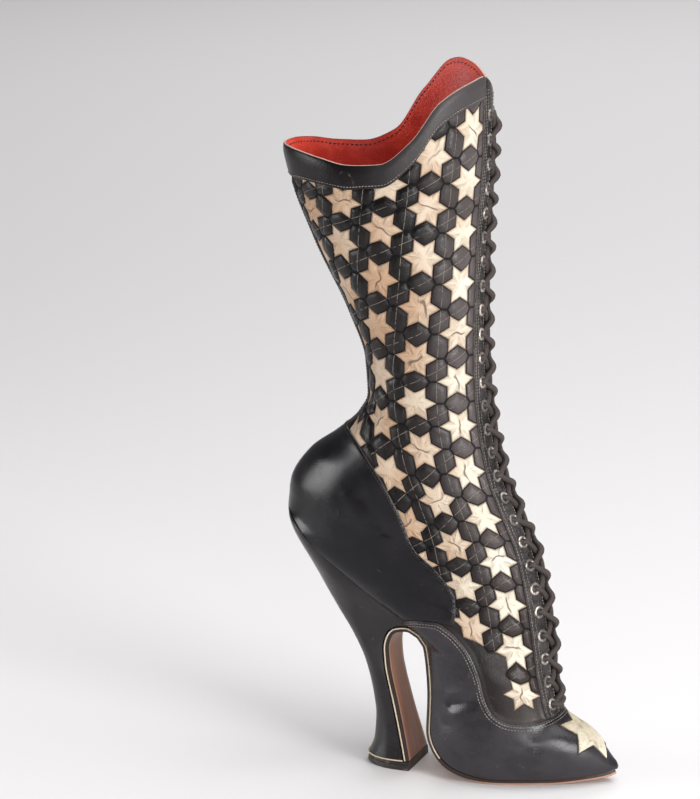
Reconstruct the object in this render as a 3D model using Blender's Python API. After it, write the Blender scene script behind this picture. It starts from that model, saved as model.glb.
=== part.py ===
"""High-heeled lace-up boot, built from the pieces a bootmaker puts together.

Metres, +Z up, toe along +X, the boot's left side along +Y, floor at Z = 0.
Sizes and tables are in millimetres and degrees.
"""

import math

import bmesh
import bpy
import numpy as np
from mathutils import Matrix, Vector

MM = 0.001

# Leather and clearances
WALL = 1.8
GAP = 0.4
OVERLAY = 1.0
TONGUE_THICK = 1.4
TONGUE_GAP = 0.8
TONGUE_DROP = 0.12
SOLE_THICK = 3.0
INSOLE_THICK = 1.6
INSOLE_GAP = 0.8
SOLE_LIP = 0.8

# Lacing, measured round the boot from the middle of the front
SLIT_HALF = 2.6
EYELET_REACH = 8.2
EYESTAY_REACH = 14.5
TONGUE_REACH = 23.0
EYELET_PITCH = 13.25
EYELET_ROUND = 3.4
EYELET_RISE = 0.6
TOP_EYELET = 369.0
LACE_ROUND = 1.5
LACE_OVER = 0.25
LACE_CLEAR = 1.1
LACE_TURN = 0.4

# Bands and strips
BAND_DEPTH = 12.5
BAND_DEPTH_BACK = 17.0
BACK_STAY_HALF = 6.0
TOE_STAR_ROUND = 13.0
TOE_STAR_STATION = 17.55
TOE_STAR_THICK = 0.7
TOE_STAR_ARC = 62.0
RIM_DROP = 0.6

# The last: one row for each section, from the top of the leg down to the toe.
# Each section lies in the plane through its front and back points and the Y axis.
# half_width is its widest half, widest is where that lies between back (0) and front (1),
# sole_half is half the flat underneath, turn twists the section about the vertical
# and sway shifts it towards the boot's left.
SECTION_COLUMNS = (
    "front_x", "front_z", "back_x", "back_z", "half_width", "widest", "sole_half", "turn", "sway",
)
SECTIONS = {
    "crown": (18.2, 410.0, -101.8, 410.0, 45.5, 0.50, 0.0, 14.0, 0.0),
    "collar": (17.6, 345.0, -92.6, 345.0, 44.5, 0.50, 0.0, 13.0, 0.0),
    "calf": (15.7, 300.0, -76.2, 300.0, 41.0, 0.50, 0.0, 11.0, 0.0),
    "shin": (15.8, 262.0, -57.4, 262.0, 36.0, 0.50, 0.0, 9.0, 0.0),
    "ankle": (16.9, 234.0, -47.2, 234.0, 32.0, 0.50, 0.0, 7.0, 0.0),
    "tendon": (19.0, 212.0, -45.9, 214.0, 31.0, 0.50, 0.0, 5.0, 0.0),
    "heel_top": (22.6, 190.0, -50.8, 203.0, 31.0, 0.49, 0.0, 4.0, 0.0),
    "heel_swell": (28.7, 168.0, -64.8, 190.0, 31.0, 0.46, 0.0, 3.0, 0.0),
    "heel_round": (37.8, 148.0, -80.8, 178.2, 31.5, 0.43, 0.0, 2.0, 0.0),
    "heel_back": (47.0, 128.0, -91.8, 161.5, 32.0, 0.40, 0.0, 1.0, 0.0),
    "seat_back": (52.7, 108.0, -94.2, 146.0, 32.0, 0.37, 24.0, 0.0, 0.0),
    "seat": (55.8, 90.0, -72.0, 128.2, 31.5, 0.36, 25.5, 0.0, 0.0),
    "seat_front": (57.4, 74.0, -45.0, 107.5, 31.0, 0.38, 24.5, 0.0, 0.0),
    "crest": (58.6, 60.0, -22.0, 90.0, 30.5, 0.42, 20.0, 0.0, 0.0),
    "waist_top": (60.5, 50.0, -7.5, 75.0, 30.0, 0.44, 17.5, 0.0, 0.0),
    "waist": (62.5, 42.0, -4.6, 50.0, 30.0, 0.44, 17.5, 0.0, 0.0),
    "joint": (66.0, 36.5, -4.0, 27.0, 30.5, 0.42, 21.0, 0.0, 0.0),
    "ball": (72.0, 32.5, 8.0, 10.0, 30.0, 0.38, 26.0, 0.0, 0.0),
    "tread": (79.0, 28.0, 32.0, 3.4, 26.0, 0.34, 23.5, 0.0, 1.0),
    "toe_box": (86.0, 21.0, 60.0, 3.4, 18.0, 0.34, 16.0, 0.0, 3.0),
    "toe": (91.2, 13.5, 81.4, 5.0, 9.0, 0.36, 7.8, 0.0, 5.0),
    "tip": (94.0, 10.0, 92.0, 6.8, 3.4, 0.40, 2.9, 0.0, 6.0),
    "nose": (94.95, 8.2, 94.95, 8.2, 0.0, 0.40, 0.0, 0.0, 6.0),
}
STATION = {name: i for i, name in enumerate(SECTIONS)}
SECTION_TABLE = np.array(list(SECTIONS.values()))
NOSE = STATION["nose"]
SEAT = STATION["seat_back"]

# Stations where pieces end
SEAT_ROUND = 0.9
THROAT = 15.8
SLIT_CLOSE = 0.5
VAMP_BACK = 11.4
VAMP_TIP = 21.2
WING_FOOT = 13.2
COUNTER_TOP = 5.5
COUNTER_FOOT = 12.9
STAY_FOOT = 6.5
EYESTAY_FOOT = THROAT - 0.75
TONGUE_FOOT = THROAT + 0.7
SOLE_TIP = 21.45
INSOLE_TIP = 20.3

# Rows and columns of the upper's grid, which the pieces over it share
ROWS = np.array([
    0, 0.5, 1.1, 1.7, 2.3, 3, 3.7, 4.35, 5, 5.6, 6.2, 6.8, 7.4, 8, 8.6, 9.2, 9.7, SEAT,
    10.06, 10.2, 10.5, 11, 11.6, 12.3, 13, 13.4, 13.7, 14, 14.4, 15, THROAT,
    16.4, 17, 17.6, 18.3, 19, 19.7, 20.4, 21.1, NOSE,
])
COLUMNS = np.linspace(0, 1, 12)

# Height of the collar on the boot's left (1) and right (-1), every 18 degrees of theta
# from the front round to the back
COLLAR = {
    1: (380.0, 388.0, 389.5, 392.5, 375.6, 353.0, 347.2, 348.3, 351.0, 352.0, 352.0),
    -1: (380.0, 390.5, 387.3, 379.3, 358.6, 346.7, 345.8, 348.6, 351.0, 352.0, 352.0),
}

# Edges of the pieces laid over the upper, seen from the side as x and z
VAMP_EDGE = (
    (72.0, 45.0), (62.5, 38.3), (53.4, 36.6), (43.3, 37.6), (34.2, 42.6), (29.5, 51.0), (26.7, 62.2),
    (20.5, 76.1), (9.2, 88.2), (0.5, 92.6), (-9.0, 92.8), (-19.5, 90.3),
)
COUNTER_EDGE = (
    (-19.5, 91.0), (-9.0, 93.4), (0.5, 93.2), (10.4, 92.0), (12.0, 98.0), (11.4, 106.2), (2.5, 119.7),
    (-11.6, 133.5), (-19.8, 152.5), (-30.9, 171.7), (-48.4, 190.8), (-60.8, 196.0), (-75.0, 200.0),
)
EDGE_RISE = 1.6

# The heel, from the seat down to the top lift. Each row lies in the plane through its
# back and breast points: half is its widest half, breast_half that of its front edge,
# and square is how full the back of its outline is.
HEEL_COLUMNS = ("back_x", "back_z", "breast_x", "breast_z", "half", "breast_half", "square")
HEEL = (
    (-94.5, 145.4, -13.7, 82.6, 26.0, 17.5, 5.0),
    (-91.3, 138.0, -21.0, 83.9, 24.5, 15.5, 4.2),
    (-86.0, 127.0, -29.0, 82.4, 22.5, 14.2, 3.6),
    (-79.0, 112.5, -34.0, 77.5, 20.0, 13.2, 3.2),
    (-69.0, 95.5, -36.2, 69.0, 17.2, 12.6, 2.8),
    (-58.4, 79.0, -35.6, 59.5, 15.0, 12.2, 2.6),
    (-49.7, 60.5, -33.7, 49.5, 13.6, 12.2, 2.5),
    (-44.8, 41.0, -31.2, 39.5, 13.2, 12.5, 2.5),
    (-43.2, 28.0, -28.6, 29.0, 13.6, 13.2, 2.5),
    (-44.0, 15.5, -25.5, 17.0, 15.2, 14.8, 2.5),
    (-47.3, 5.4, -22.6, 5.4, 17.2, 16.6, 2.5),
)
LIFT = 5.0
LIFT_FLARE = 0.8

# The outsole goes on from the waist, over the arch and down the breast of the heel:
# its top face and its half width
BREAST_COLUMNS = ("x", "z", "half")
BREAST = (
    (-12.8, 80.2, 16.6),
    (-21.0, 83.2, 15.0),
    (-28.6, 81.8, 14.0),
    (-33.4, 77.2, 13.2),
    (-35.6, 69.0, 12.6),
    (-35.0, 59.5, 12.2),
    (-33.1, 49.5, 12.2),
    (-30.6, 39.5, 12.5),
    (-28.0, 29.0, 13.2),
    (-24.9, 17.0, 14.8),
    (-22.0, 5.4, 16.6),
)


def hermite(values, u):
    """A smooth curve through the values at 0, 1, 2 ... that doesn't overshoot them."""
    values = np.asarray(values, float)
    steps = np.diff(values)
    slopes = np.zeros_like(values)
    slopes[0] = steps[0]
    slopes[-1] = steps[-1]
    rising = steps[:-1] * steps[1:] > 0
    mean = 2 * steps[:-1] * steps[1:] / np.where(rising, steps[:-1] + steps[1:], 1)
    slopes[1:-1] = np.where(rising, mean, 0)
    i = np.clip(np.floor(u).astype(int), 0, len(steps) - 1)
    t = u - i
    return (
        values[i] * (1 + 2 * t) * (1 - t) ** 2
        + slopes[i] * t * (1 - t) ** 2
        + values[i + 1] * t * t * (3 - 2 * t)
        + slopes[i + 1] * t * t * (t - 1)
    )


def section(u):
    """The section table's columns at station u, with a crease round the seat's back."""
    s = {c: hermite(SECTION_TABLE[:, k], u) for k, c in enumerate(SECTION_COLUMNS)}
    for c in ("back_x", "back_z"):
        column = SECTION_TABLE[:, SECTION_COLUMNS.index(c)]
        above = hermite(column[: SEAT + 1], np.minimum(u, SEAT))
        below = hermite(column[SEAT:], np.maximum(u - SEAT, 0))
        s[c] = np.where(u < SEAT, above, below)
    into_seat = np.clip((u - SEAT) / SEAT_ROUND, 0, 1)
    s["sole_half"] = s["sole_half"] * np.sqrt(1 - (1 - into_seat) ** 2)
    return s


def last_point(u, theta, side):
    """A point of the last: theta runs from the front ridge (0) round to the sole's edge (pi)."""
    s = section(u)
    front = theta < math.pi / 2
    along = s["widest"] + np.where(front, 1 - s["widest"], s["widest"]) * np.cos(theta)
    under = np.where(front, 0, s["sole_half"])
    round_out = s["half_width"] * np.sin(theta)
    out = side * np.where(under > 0, np.hypot(round_out, under * np.cos(theta)), round_out)
    x = s["back_x"] + (s["front_x"] - s["back_x"]) * along
    z = s["back_z"] + (s["front_z"] - s["back_z"]) * along
    middle = (s["front_x"] + s["back_x"]) / 2
    turn = np.radians(s["turn"])
    turned_x = middle + (x - middle) * np.cos(turn) - out * np.sin(turn)
    turned_y = (x - middle) * np.sin(turn) + out * np.cos(turn) + s["sway"]
    return np.stack([turned_x, turned_y, z], axis=-1)


def last_normal(u, theta, side):
    """The outward direction of the last at a point."""
    step = 1e-4
    u = np.clip(u, 0.01, NOSE - 0.15)
    theta = np.where(section(u)["sole_half"] > 0, np.minimum(theta, math.pi - 0.03), theta)
    across = last_point(u, theta + step, side) - last_point(u, theta - step, side)
    down = last_point(u + step, theta, side) - last_point(u - step, theta, side)
    normal = side * np.cross(down, across)
    return normal / np.linalg.norm(normal, axis=-1, keepdims=True)


def skin(u, theta, side, outset):
    """The last moved outwards by outset, which is negative for the inside of the boot."""
    return last_point(u, theta, side) + outset * last_normal(u, theta, side)


def reach(u, distance):
    """The theta that lies this distance round from the middle of the front."""
    theta = np.linspace(0, math.pi / 2, 91)
    out = []
    for one, far in zip(np.ravel(u), np.ravel(np.broadcast_to(distance, np.shape(u)))):
        points = last_point(np.full_like(theta, one), theta, 1)
        steps = np.linalg.norm(np.diff(points, axis=0), axis=1)
        out.append(np.interp(far, np.concatenate([[0], np.cumsum(steps)]), theta))
    return np.reshape(out, np.shape(u))


def collar(theta, side, below=0.0):
    """The station where the leg ends, or where it is this far below its end."""
    height = hermite(COLLAR[side], np.degrees(theta) / 18.0) - below
    stations = np.linspace(0, STATION["shin"], 241)
    return np.interp(-height, -section(stations)["back_z"], stations)


def front_reach(u):
    """The theta of the slit's edge, which closes at the throat."""
    closing = np.clip((THROAT - u) / SLIT_CLOSE, 0, 1)
    return reach(u, SLIT_HALF) * np.sqrt(closing)


def material(name, colour, rough):
    made = bpy.data.materials.new(name)
    made.use_nodes = True
    shader = made.node_tree.nodes["Principled BSDF"]
    shader.inputs["Base Color"].default_value = (*colour, 1.0)
    shader.inputs["Roughness"].default_value = rough
    made.diffuse_color = (*colour, 1.0)
    return made


def place(made, stuff):
    """A piece goes in the boot's collection, a tool with no material in the tools'."""
    home = "high_heeled_boot" if stuff else "tools"
    if home not in bpy.data.collections:
        bpy.context.scene.collection.children.link(bpy.data.collections.new(home))
    bpy.data.collections[home].objects.link(made)
    if stuff:
        made.data.materials.append(stuff)


def add(name, points, faces, stuff):
    """An object from points in millimetres and faces, with its normals turned outwards."""
    mesh = bpy.data.meshes.new(name)
    mesh.from_pydata([Vector(p) * MM for p in points], [], faces)
    shape = bmesh.new()
    shape.from_mesh(mesh)
    bmesh.ops.recalc_face_normals(shape, faces=shape.faces)
    if shape.calc_volume(signed=True) < 0:
        bmesh.ops.reverse_faces(shape, faces=shape.faces)
    shape.to_mesh(mesh)
    shape.free()
    made = bpy.data.objects.new(name, mesh)
    place(made, stuff)
    return made


def join_up(target, tool, operation):
    """A Boolean of two objects that leaves one."""
    cut = target.modifiers.new("cut", "BOOLEAN")
    cut.operation = operation
    cut.solver = "EXACT"
    cut.object = tool
    target.data = bpy.data.meshes.new_from_object(target.evaluated_get(bpy.context.evaluated_depsgraph_get()))
    target.modifiers.clear()
    bpy.data.objects.remove(tool)
    return target


def sheet(name, outer, inner, stuff):
    """A closed piece of leather between two equal grids for each side, joined where the sides meet."""
    index = {}
    points = []
    backs = []
    faces = []
    for top, under in zip(outer, inner):
        rows, columns = top.shape[:2]
        ids = np.zeros((rows, columns), int)
        for i in range(rows):
            for j in range(columns):
                key = tuple(np.round(top[i, j], 3) + 0.0)
                if key not in index:
                    index[key] = len(points)
                    points.append(top[i, j])
                    backs.append(under[i, j])
                ids[i, j] = index[key]
        for i in range(rows - 1):
            for j in range(columns - 1):
                a, b, c, d = (int(k) for k in (ids[i, j], ids[i + 1, j], ids[i + 1, j + 1], ids[i, j + 1]))
                faces += [list(ring) for ring in ((a, b, c), (a, c, d)) if len(set(ring)) == 3]
    count = len(points)
    uses = {}
    for ring in faces:
        for a, b in zip(ring, ring[1:] + ring[:1]):
            uses.setdefault((min(a, b), max(a, b)), []).append((a, b))
    walls = []
    for pair in uses.values():
        if len(pair) == 1:
            a, b = pair[0]
            walls.append([b, a, a + count, b + count])
    insides = [[c + count for c in reversed(ring)] for ring in faces]
    return add(name, points + backs, faces + insides + walls, stuff)


def leather(name, u, theta, outset, thickness, stuff, sides=(1, -1)):
    """A sheet that follows the last between two outsets, over a grid of stations and thetas."""
    outer = [skin(u, theta, side, outset + thickness) for side in sides]
    inner = [skin(u, theta, side, outset) for side in sides]
    return sheet(name, outer, inner, stuff)


def loft(name, rings, stuff):
    """A closed solid through rings of equal length, capped at both ends."""
    count = len(rings[0])
    points = [p for ring in rings for p in ring]
    faces = []
    for i in range(len(rings) - 1):
        for j in range(count):
            k = (j + 1) % count
            faces.append([i * count + j, i * count + k, (i + 1) * count + k, (i + 1) * count + j])
    faces.append(list(range(count)))
    faces.append(list(range((len(rings) - 1) * count, len(rings) * count)))
    return add(name, points, faces, stuff)


def grid(rows, columns):
    """Stations and thetas of part of the upper's grid."""
    start = front_reach(rows)[:, None]
    theta = start + (math.pi - start) * columns[None, :]
    return np.repeat(rows[:, None], len(columns), axis=1), theta


def below_collar(u, theta, side):
    """Stations of the leg closed up under the collar."""
    shin = STATION["shin"]
    top = collar(theta, side)
    return np.where(u < shin, top + u / shin * (shin - top), u)


def make_upper(stuff):
    """The leg and foot in one wall, open at the collar, down the front and underneath."""
    rows, theta = grid(ROWS, COLUMNS)
    outer = []
    inner = []
    for side in (1, -1):
        u = below_collar(rows, theta, side)
        behind = np.interp(u, (0, 19.4, 20, 21, NOSE), (0, 19.4, 19.9, 20.45, 20.7))
        out = skin(u, theta, side, 0)
        into = skin(behind, theta, side, -WALL)
        out[-1] = out[-1].mean(axis=0)
        into[-1] = into[-1].mean(axis=0) * (1, 0, 1) + (0, section(behind[-1, 0])["sway"], 0)
        outer.append(out)
        inner.append(into)
    return sheet("upper", outer, inner, stuff)


def prism(outline):
    """A tool with this outline in the XZ plane, right through the boot."""
    return loft("tool", [[(x, y, z) for x, z in outline] for y in (-90, 90)], None)


def make_vamp(stuff):
    """The vamp over the toe and forefoot, with wings back to the waist."""
    rows = np.concatenate([ROWS[(ROWS > VAMP_BACK) & (ROWS < VAMP_TIP - 0.2)], [VAMP_TIP]])
    u, theta = grid(rows, COLUMNS)
    vamp = leather("vamp", u, theta, GAP, OVERLAY, stuff)
    foot = np.stack(under_line(np.linspace(WING_FOOT, VAMP_TIP, 22), -EDGE_RISE), axis=1)
    outline = list(VAMP_EDGE) + [tuple(p) for p in foot] + [(110, 12), (110, 60)]
    return join_up(vamp, prism(outline), "INTERSECT")


def make_counter(stuff):
    """The counter round the back of the heel."""
    u, theta = grid(ROWS[(ROWS > COUNTER_TOP) & (ROWS < COUNTER_FOOT + 1)], COLUMNS[4:])
    counter = leather("counter", u, theta, GAP, OVERLAY, stuff)
    foot = np.stack(under_line(np.array([SEAT + 0.15, 11, 12, COUNTER_FOOT]), -EDGE_RISE), axis=1)
    back = [(-110, 205), (-110, foot[0, 1] + 1.2)]
    outline = list(COUNTER_EDGE) + back + [tuple(p) for p in foot]
    return join_up(counter, prism(outline), "INTERSECT")


def make_band(stuff):
    """The band round the collar, from one eyestay to the other."""
    start = float(reach(np.array(0.5), EYESTAY_REACH + GAP))
    theta = np.linspace(start, math.pi, 17)
    depth = BAND_DEPTH + (BAND_DEPTH_BACK - BAND_DEPTH) * np.clip((np.degrees(theta) - 100) / 60, 0, 1)
    around = np.repeat(theta[None, :], 3, axis=0)
    outer = []
    inner = []
    for side in (1, -1):
        u = np.stack([collar(theta, side, below) for below in (RIM_DROP, depth / 2, depth)])
        outer.append(skin(u, around, side, GAP + OVERLAY))
        inner.append(skin(u, around, side, GAP))
    return sheet("top_band", outer, inner, stuff)


def make_back_stay(stuff):
    """The strip over the back seam, from the band down to the counter."""
    leg = below_collar(ROWS[ROWS < STAY_FOOT], np.array(math.pi), 1)
    top = float(collar(np.array(math.pi), 1, BAND_DEPTH_BACK + RIM_DROP))
    stations = np.concatenate([[top], leg[leg > top + 0.1], [STAY_FOOT]])
    share = np.linspace(1, 0, 3)
    half = BACK_STAY_HALF / section(stations)["half_width"]
    theta = math.pi - half[:, None] * share[None, :]
    return leather("back_stay", np.repeat(stations[:, None], 3, axis=1), theta, GAP, OVERLAY, stuff)


def make_tongue(stuff):
    """The tongue behind the lacing."""
    stations = below_collar(ROWS[ROWS < TONGUE_FOOT], np.array(0.3), 1)
    stations[0] += TONGUE_DROP
    share = np.linspace(0, 1, 3)
    theta = reach(stations, TONGUE_REACH)[:, None] * share[None, :]
    u = np.repeat(stations[:, None], len(share), axis=1)
    return leather("tongue", u, theta, -WALL - TONGUE_GAP - TONGUE_THICK, TONGUE_THICK, stuff)


def front_stations():
    """The stations of the eyelets, a pitch apart down the front from the top."""
    stations = np.linspace(0.3, THROAT - 0.35, 2001)
    points = last_point(stations, reach(stations, EYELET_REACH), 1)
    run = np.concatenate([[0], np.cumsum(np.linalg.norm(np.diff(points, axis=0), axis=1))])
    top = np.interp(-TOP_EYELET, -points[:, 2], run)
    count = int((run[-1] - top) / EYELET_PITCH) + 1
    return np.interp(top + EYELET_PITCH * np.arange(count), run, stations)


def eyelet_frame(station, side, outset):
    """A frame on the eyestay with its Z axis outwards."""
    theta = reach(np.array(station), EYELET_REACH)
    spot = skin(np.array(station), theta, side, outset)
    out = Vector(last_normal(np.array(station), theta, side))
    frame = out.to_track_quat("Z", "Y").to_matrix().to_4x4() @ Matrix.Rotation(0.25, 4, "Z")
    frame.translation = Vector(spot)
    return frame


def cylinders(name, frames, radius, depth, sides):
    """Separate short cylinders at the frames, as one object."""
    shape = bmesh.new()
    for frame in frames:
        bmesh.ops.create_cone(
            shape, cap_ends=True, segments=sides, radius1=radius, radius2=radius, depth=depth, matrix=frame
        )
    bmesh.ops.transform(shape, matrix=Matrix.Scale(MM, 4), verts=shape.verts)
    mesh = bpy.data.meshes.new(name)
    shape.to_mesh(mesh)
    shape.free()
    made = bpy.data.objects.new(name, mesh)
    place(made, None)
    return made


def make_eyestay(name, side, stuff):
    """A facing down one edge of the slit, with its eyelets raised on it."""
    spots = front_stations()
    share = np.linspace(0, 1, 3)
    between = (spots[:-1] + spots[1:]) / 2
    top = collar(np.radians([4.0, 11.0, 18.0]), side, 0.8)
    u = np.concatenate([top[None, :], np.repeat(between[:, None], 3, axis=1), np.full((1, 3), EYESTAY_FOOT)])
    near = reach(u[:, 1], SLIT_HALF + 0.5)
    far = reach(u[:, 1], EYESTAY_REACH)
    theta = near[:, None] + (far - near)[:, None] * share[None, :]
    strip = leather(name, u, theta, GAP, OVERLAY, stuff, sides=(side,))
    rise = GAP + OVERLAY + EYELET_RISE
    rings = cylinders("rings", [eyelet_frame(s, side, rise - 0.65) for s in spots], EYELET_ROUND, 1.3, 6)
    return join_up(strip, rings, "UNION")


def make_lace(stuff):
    """Both runs of the lace, crossing over the slit from eyelet to eyelet."""
    spots = front_stations()
    height = GAP + OVERLAY + EYELET_RISE + LACE_ROUND + LACE_CLEAR
    runs = []
    for first in (1, -1):
        path = []
        for k, station in enumerate(spots):
            side = first if k % 2 == 0 else -first
            outset = height + LACE_OVER * first
            path.append(skin(np.array(station), reach(np.array(station), EYELET_REACH), side, outset))
            if k + 1 < len(spots):
                middle = np.array((station + spots[k + 1]) / 2)
                path.append(skin(middle, np.array(0.0), side, outset))
        runs.append(tube("lace", path, LACE_ROUND, 4, LACE_TURN * first, stuff))
    return join_up(runs[0], runs[1], "UNION")


def tube(name, path, radius, sides, twist, stuff):
    """A cord along a path, with its corners turned by twist."""
    path = [Vector(p) for p in path]
    rings = []
    for i, spot in enumerate(path):
        run = (path[min(i + 1, len(path) - 1)] - path[max(i - 1, 0)]).normalized()
        across = run.cross(Vector((0, 1, 0))).normalized()
        up = run.cross(across)
        angles = [twist + 2 * math.pi * k / sides for k in range(sides)]
        rings.append([spot + radius * (math.cos(a) * across + math.sin(a) * up) for a in angles])
    return loft(name, rings, stuff)


def make_toe_star(stuff):
    """The six-pointed star on the vamp, cut from a sheet by a prism."""
    theta = np.radians(np.linspace(0, TOE_STAR_ARC, 9))
    stations = np.linspace(16.2, 19.4, 10)
    u = np.repeat(stations[:, None], len(theta), axis=1)
    around = np.repeat(theta[None, :], len(stations), axis=0)
    star = leather("toe_star", u, around, 2 * GAP + OVERLAY, TOE_STAR_THICK, stuff)
    middle = np.array(TOE_STAR_STATION)
    spot = Vector(last_point(middle, np.array(0.0), 1))
    out = Vector(last_normal(middle, np.array(0.0), 1))
    along = Vector((0, 1, 0)).cross(out)
    rings = []
    for lift in (-8, 10):
        ring = []
        for k in range(12):
            far = TOE_STAR_ROUND if k % 2 == 0 else TOE_STAR_ROUND * 0.577
            angle = math.pi * k / 6
            ring.append(spot + lift * out + far * (math.cos(angle) * along + math.sin(angle) * Vector((0, 1, 0))))
        rings.append(ring)
    return join_up(star, loft("star_tool", rings, None), "INTERSECT")


def under_line(u, drop):
    """Points of the line under the foot, dropped below the upper."""
    s = section(u)
    step = 1e-3
    low = np.clip(u - step, 0, NOSE)
    high = np.clip(u + step, 0, NOSE)
    a = section(low)
    b = section(high)
    run = np.stack([b["back_x"] - a["back_x"], b["back_z"] - a["back_z"]], axis=-1)
    run = run / np.linalg.norm(run, axis=-1, keepdims=True)
    x = s["back_x"] + drop * run[..., 1]
    z = s["back_z"] - drop * run[..., 0]
    return x, z


def strip(name, tops, bottoms, halves, sways, stuff):
    """A plate along a line in the XZ plane, with its own half width at each row."""
    rings = []
    for top, low, half, sway in zip(tops, bottoms, halves, sways):
        rings.append([
            (top[0], sway - half, top[1]), (top[0], sway + half, top[1]),
            (low[0], sway + half, low[1]), (low[0], sway - half, low[1]),
        ])
    return loft(name, rings, stuff)


def make_outsole(stuff):
    """The leather outsole: tread, waist, over the arch and down the breast of the heel."""
    stations = np.concatenate([
        np.array([SOLE_TIP, 21.2, 20.8, 20.4]), np.linspace(20, 18, 7), np.linspace(17.75, 14, 16),
    ])
    x, z = under_line(stations, GAP)
    s = section(stations)
    lines = list(zip(x, z))
    halves = list(s["sole_half"] + SOLE_LIP)
    sways = list(s["sway"])
    at = np.linspace(0, len(BREAST) - 1, 23)
    table = np.array(BREAST)
    lines += list(zip(hermite(table[:, 0], at), hermite(table[:, 1], at)))
    halves += list(hermite(table[:, 2], at))
    sways += [0.0] * len(at)
    tops = np.array(lines)
    run = np.gradient(tops, axis=0)
    run = run / np.linalg.norm(run, axis=1, keepdims=True)
    bottoms = tops + SOLE_THICK * np.stack([-run[:, 1], run[:, 0]], axis=1)
    flat = (stations >= 18 - 1e-6) & (stations <= 19 + 1e-6)
    bottoms[: len(stations)][flat] = np.stack([tops[: len(stations)][flat][:, 0], np.zeros(flat.sum())], axis=1)
    bottoms[:, 1] = np.maximum(bottoms[:, 1], 0)
    bottoms[-1] = (tops[-1][0] + SOLE_THICK, tops[-1][1])
    return strip("outsole", tops, bottoms, halves, sways, stuff)


def make_insole(stuff):
    """The insole, closing the upper from inside between its turned-under edges."""
    stations = np.concatenate([[SEAT + 0.17], ROWS[(ROWS > SEAT + 0.3) & (ROWS < 20)], [INSOLE_TIP]])
    halves = np.interp(stations, ROWS, section(ROWS)["sole_half"]) - WALL - INSOLE_GAP
    halves[0] -= 2 * INSOLE_GAP
    halves[1] -= INSOLE_GAP
    tops = np.stack(under_line(stations, -INSOLE_THICK), axis=1)
    bottoms = np.stack(under_line(stations, 0), axis=1)
    return strip("insole", tops, bottoms, halves, section(stations)["sway"], stuff)


def heel_ring(row, count=9, grow=0.0):
    """A heel section: straight across its breast, round at its back."""
    r = dict(zip(HEEL_COLUMNS, row))
    ring = []
    for side in (-1, 1):
        shares = np.sin(np.linspace(0, math.pi / 2, count))
        shares = shares if side == -1 else shares[-2::-1]
        for q in shares:
            swell = r["breast_half"] + (r["half"] - r["breast_half"]) * min(1.0, 2.5 * q) ** 0.8
            y = side * (swell + grow) * (1 - q ** r["square"]) ** (1 / 2)
            x = r["breast_x"] + (r["back_x"] - grow - r["breast_x"]) * q
            z = r["breast_z"] + (r["back_z"] - r["breast_z"]) * q
            ring.append((x, y, z))
    return ring


def make_heel(stuff):
    """The heel block, from the seat down to the top lift."""
    table = np.array(HEEL)
    at = np.linspace(0, len(HEEL) - 1, 16)
    rows = np.stack([hermite(table[:, k], at) for k in range(table.shape[1])], axis=1)
    return loft("heel", [heel_ring(row) for row in rows], stuff)


def make_top_lift(stuff):
    """The top lift the heel stands on, under the heel block and the breast leather."""
    row = dict(zip(HEEL_COLUMNS, HEEL[-1]))
    rings = []
    for z, grow in ((LIFT, 0.3), (LIFT * 0.5, 0.55), (0.0, LIFT_FLARE)):
        flat = dict(row, back_z=z, breast_z=z, breast_x=row["breast_x"] + SOLE_THICK + 0.8)
        rings.append(heel_ring([flat[c] for c in HEEL_COLUMNS], grow=grow))
    return loft("top_lift", rings, stuff)


def main():
    for thing in list(bpy.data.objects):
        bpy.data.objects.remove(thing)
    black = material("black_leather", (0.02, 0.02, 0.024), 0.35)
    make_upper(black)
    make_vamp(material("vamp_leather", (0.03, 0.03, 0.034), 0.3))
    make_counter(material("counter_leather", (0.035, 0.034, 0.038), 0.3))
    make_band(material("band_leather", (0.045, 0.045, 0.05), 0.35))
    make_back_stay(material("stay_leather", (0.04, 0.04, 0.045), 0.35))
    facing = material("facing_leather", (0.05, 0.05, 0.055), 0.4)
    make_eyestay("eyestay_left", 1, facing)
    make_eyestay("eyestay_right", -1, facing)
    make_tongue(material("tongue_leather", (0.03, 0.028, 0.03), 0.5))
    make_lace(material("lace_cord", (0.02, 0.02, 0.02), 0.8))
    make_toe_star(material("star_leather", (0.75, 0.68, 0.55), 0.5))
    make_insole(material("insole_leather", (0.36, 0.06, 0.04), 0.7))
    make_outsole(material("sole_leather", (0.42, 0.23, 0.12), 0.5))
    make_heel(material("heel_leather", (0.03, 0.03, 0.034), 0.3))
    make_top_lift(material("lift_leather", (0.06, 0.05, 0.045), 0.6))


if __name__ == "__main__":
    main()
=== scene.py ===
"""The boot's looks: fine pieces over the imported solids, their finishes, the light and the camera.

Sizes and tables are in millimetres, as in the part's source, and go to metres with MM.
"""

import math

import bmesh
import bpy
import numpy as np
from mathutils import Matrix, Vector


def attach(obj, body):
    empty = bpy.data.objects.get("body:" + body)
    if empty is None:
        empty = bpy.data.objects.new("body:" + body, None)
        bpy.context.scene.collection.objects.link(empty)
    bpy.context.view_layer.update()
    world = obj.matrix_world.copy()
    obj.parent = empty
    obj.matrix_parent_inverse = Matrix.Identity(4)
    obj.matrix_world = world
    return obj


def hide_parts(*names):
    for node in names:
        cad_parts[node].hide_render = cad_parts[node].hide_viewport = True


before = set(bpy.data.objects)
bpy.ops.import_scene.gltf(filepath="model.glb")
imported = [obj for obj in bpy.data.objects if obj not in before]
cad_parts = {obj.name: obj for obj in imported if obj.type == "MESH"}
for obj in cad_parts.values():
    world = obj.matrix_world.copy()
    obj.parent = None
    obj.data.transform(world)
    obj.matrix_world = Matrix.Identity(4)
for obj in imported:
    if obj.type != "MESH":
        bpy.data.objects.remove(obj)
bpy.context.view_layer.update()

MM = 0.001
WALL = 1.8
GAP = 0.4
OVERLAY = 1.0
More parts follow.
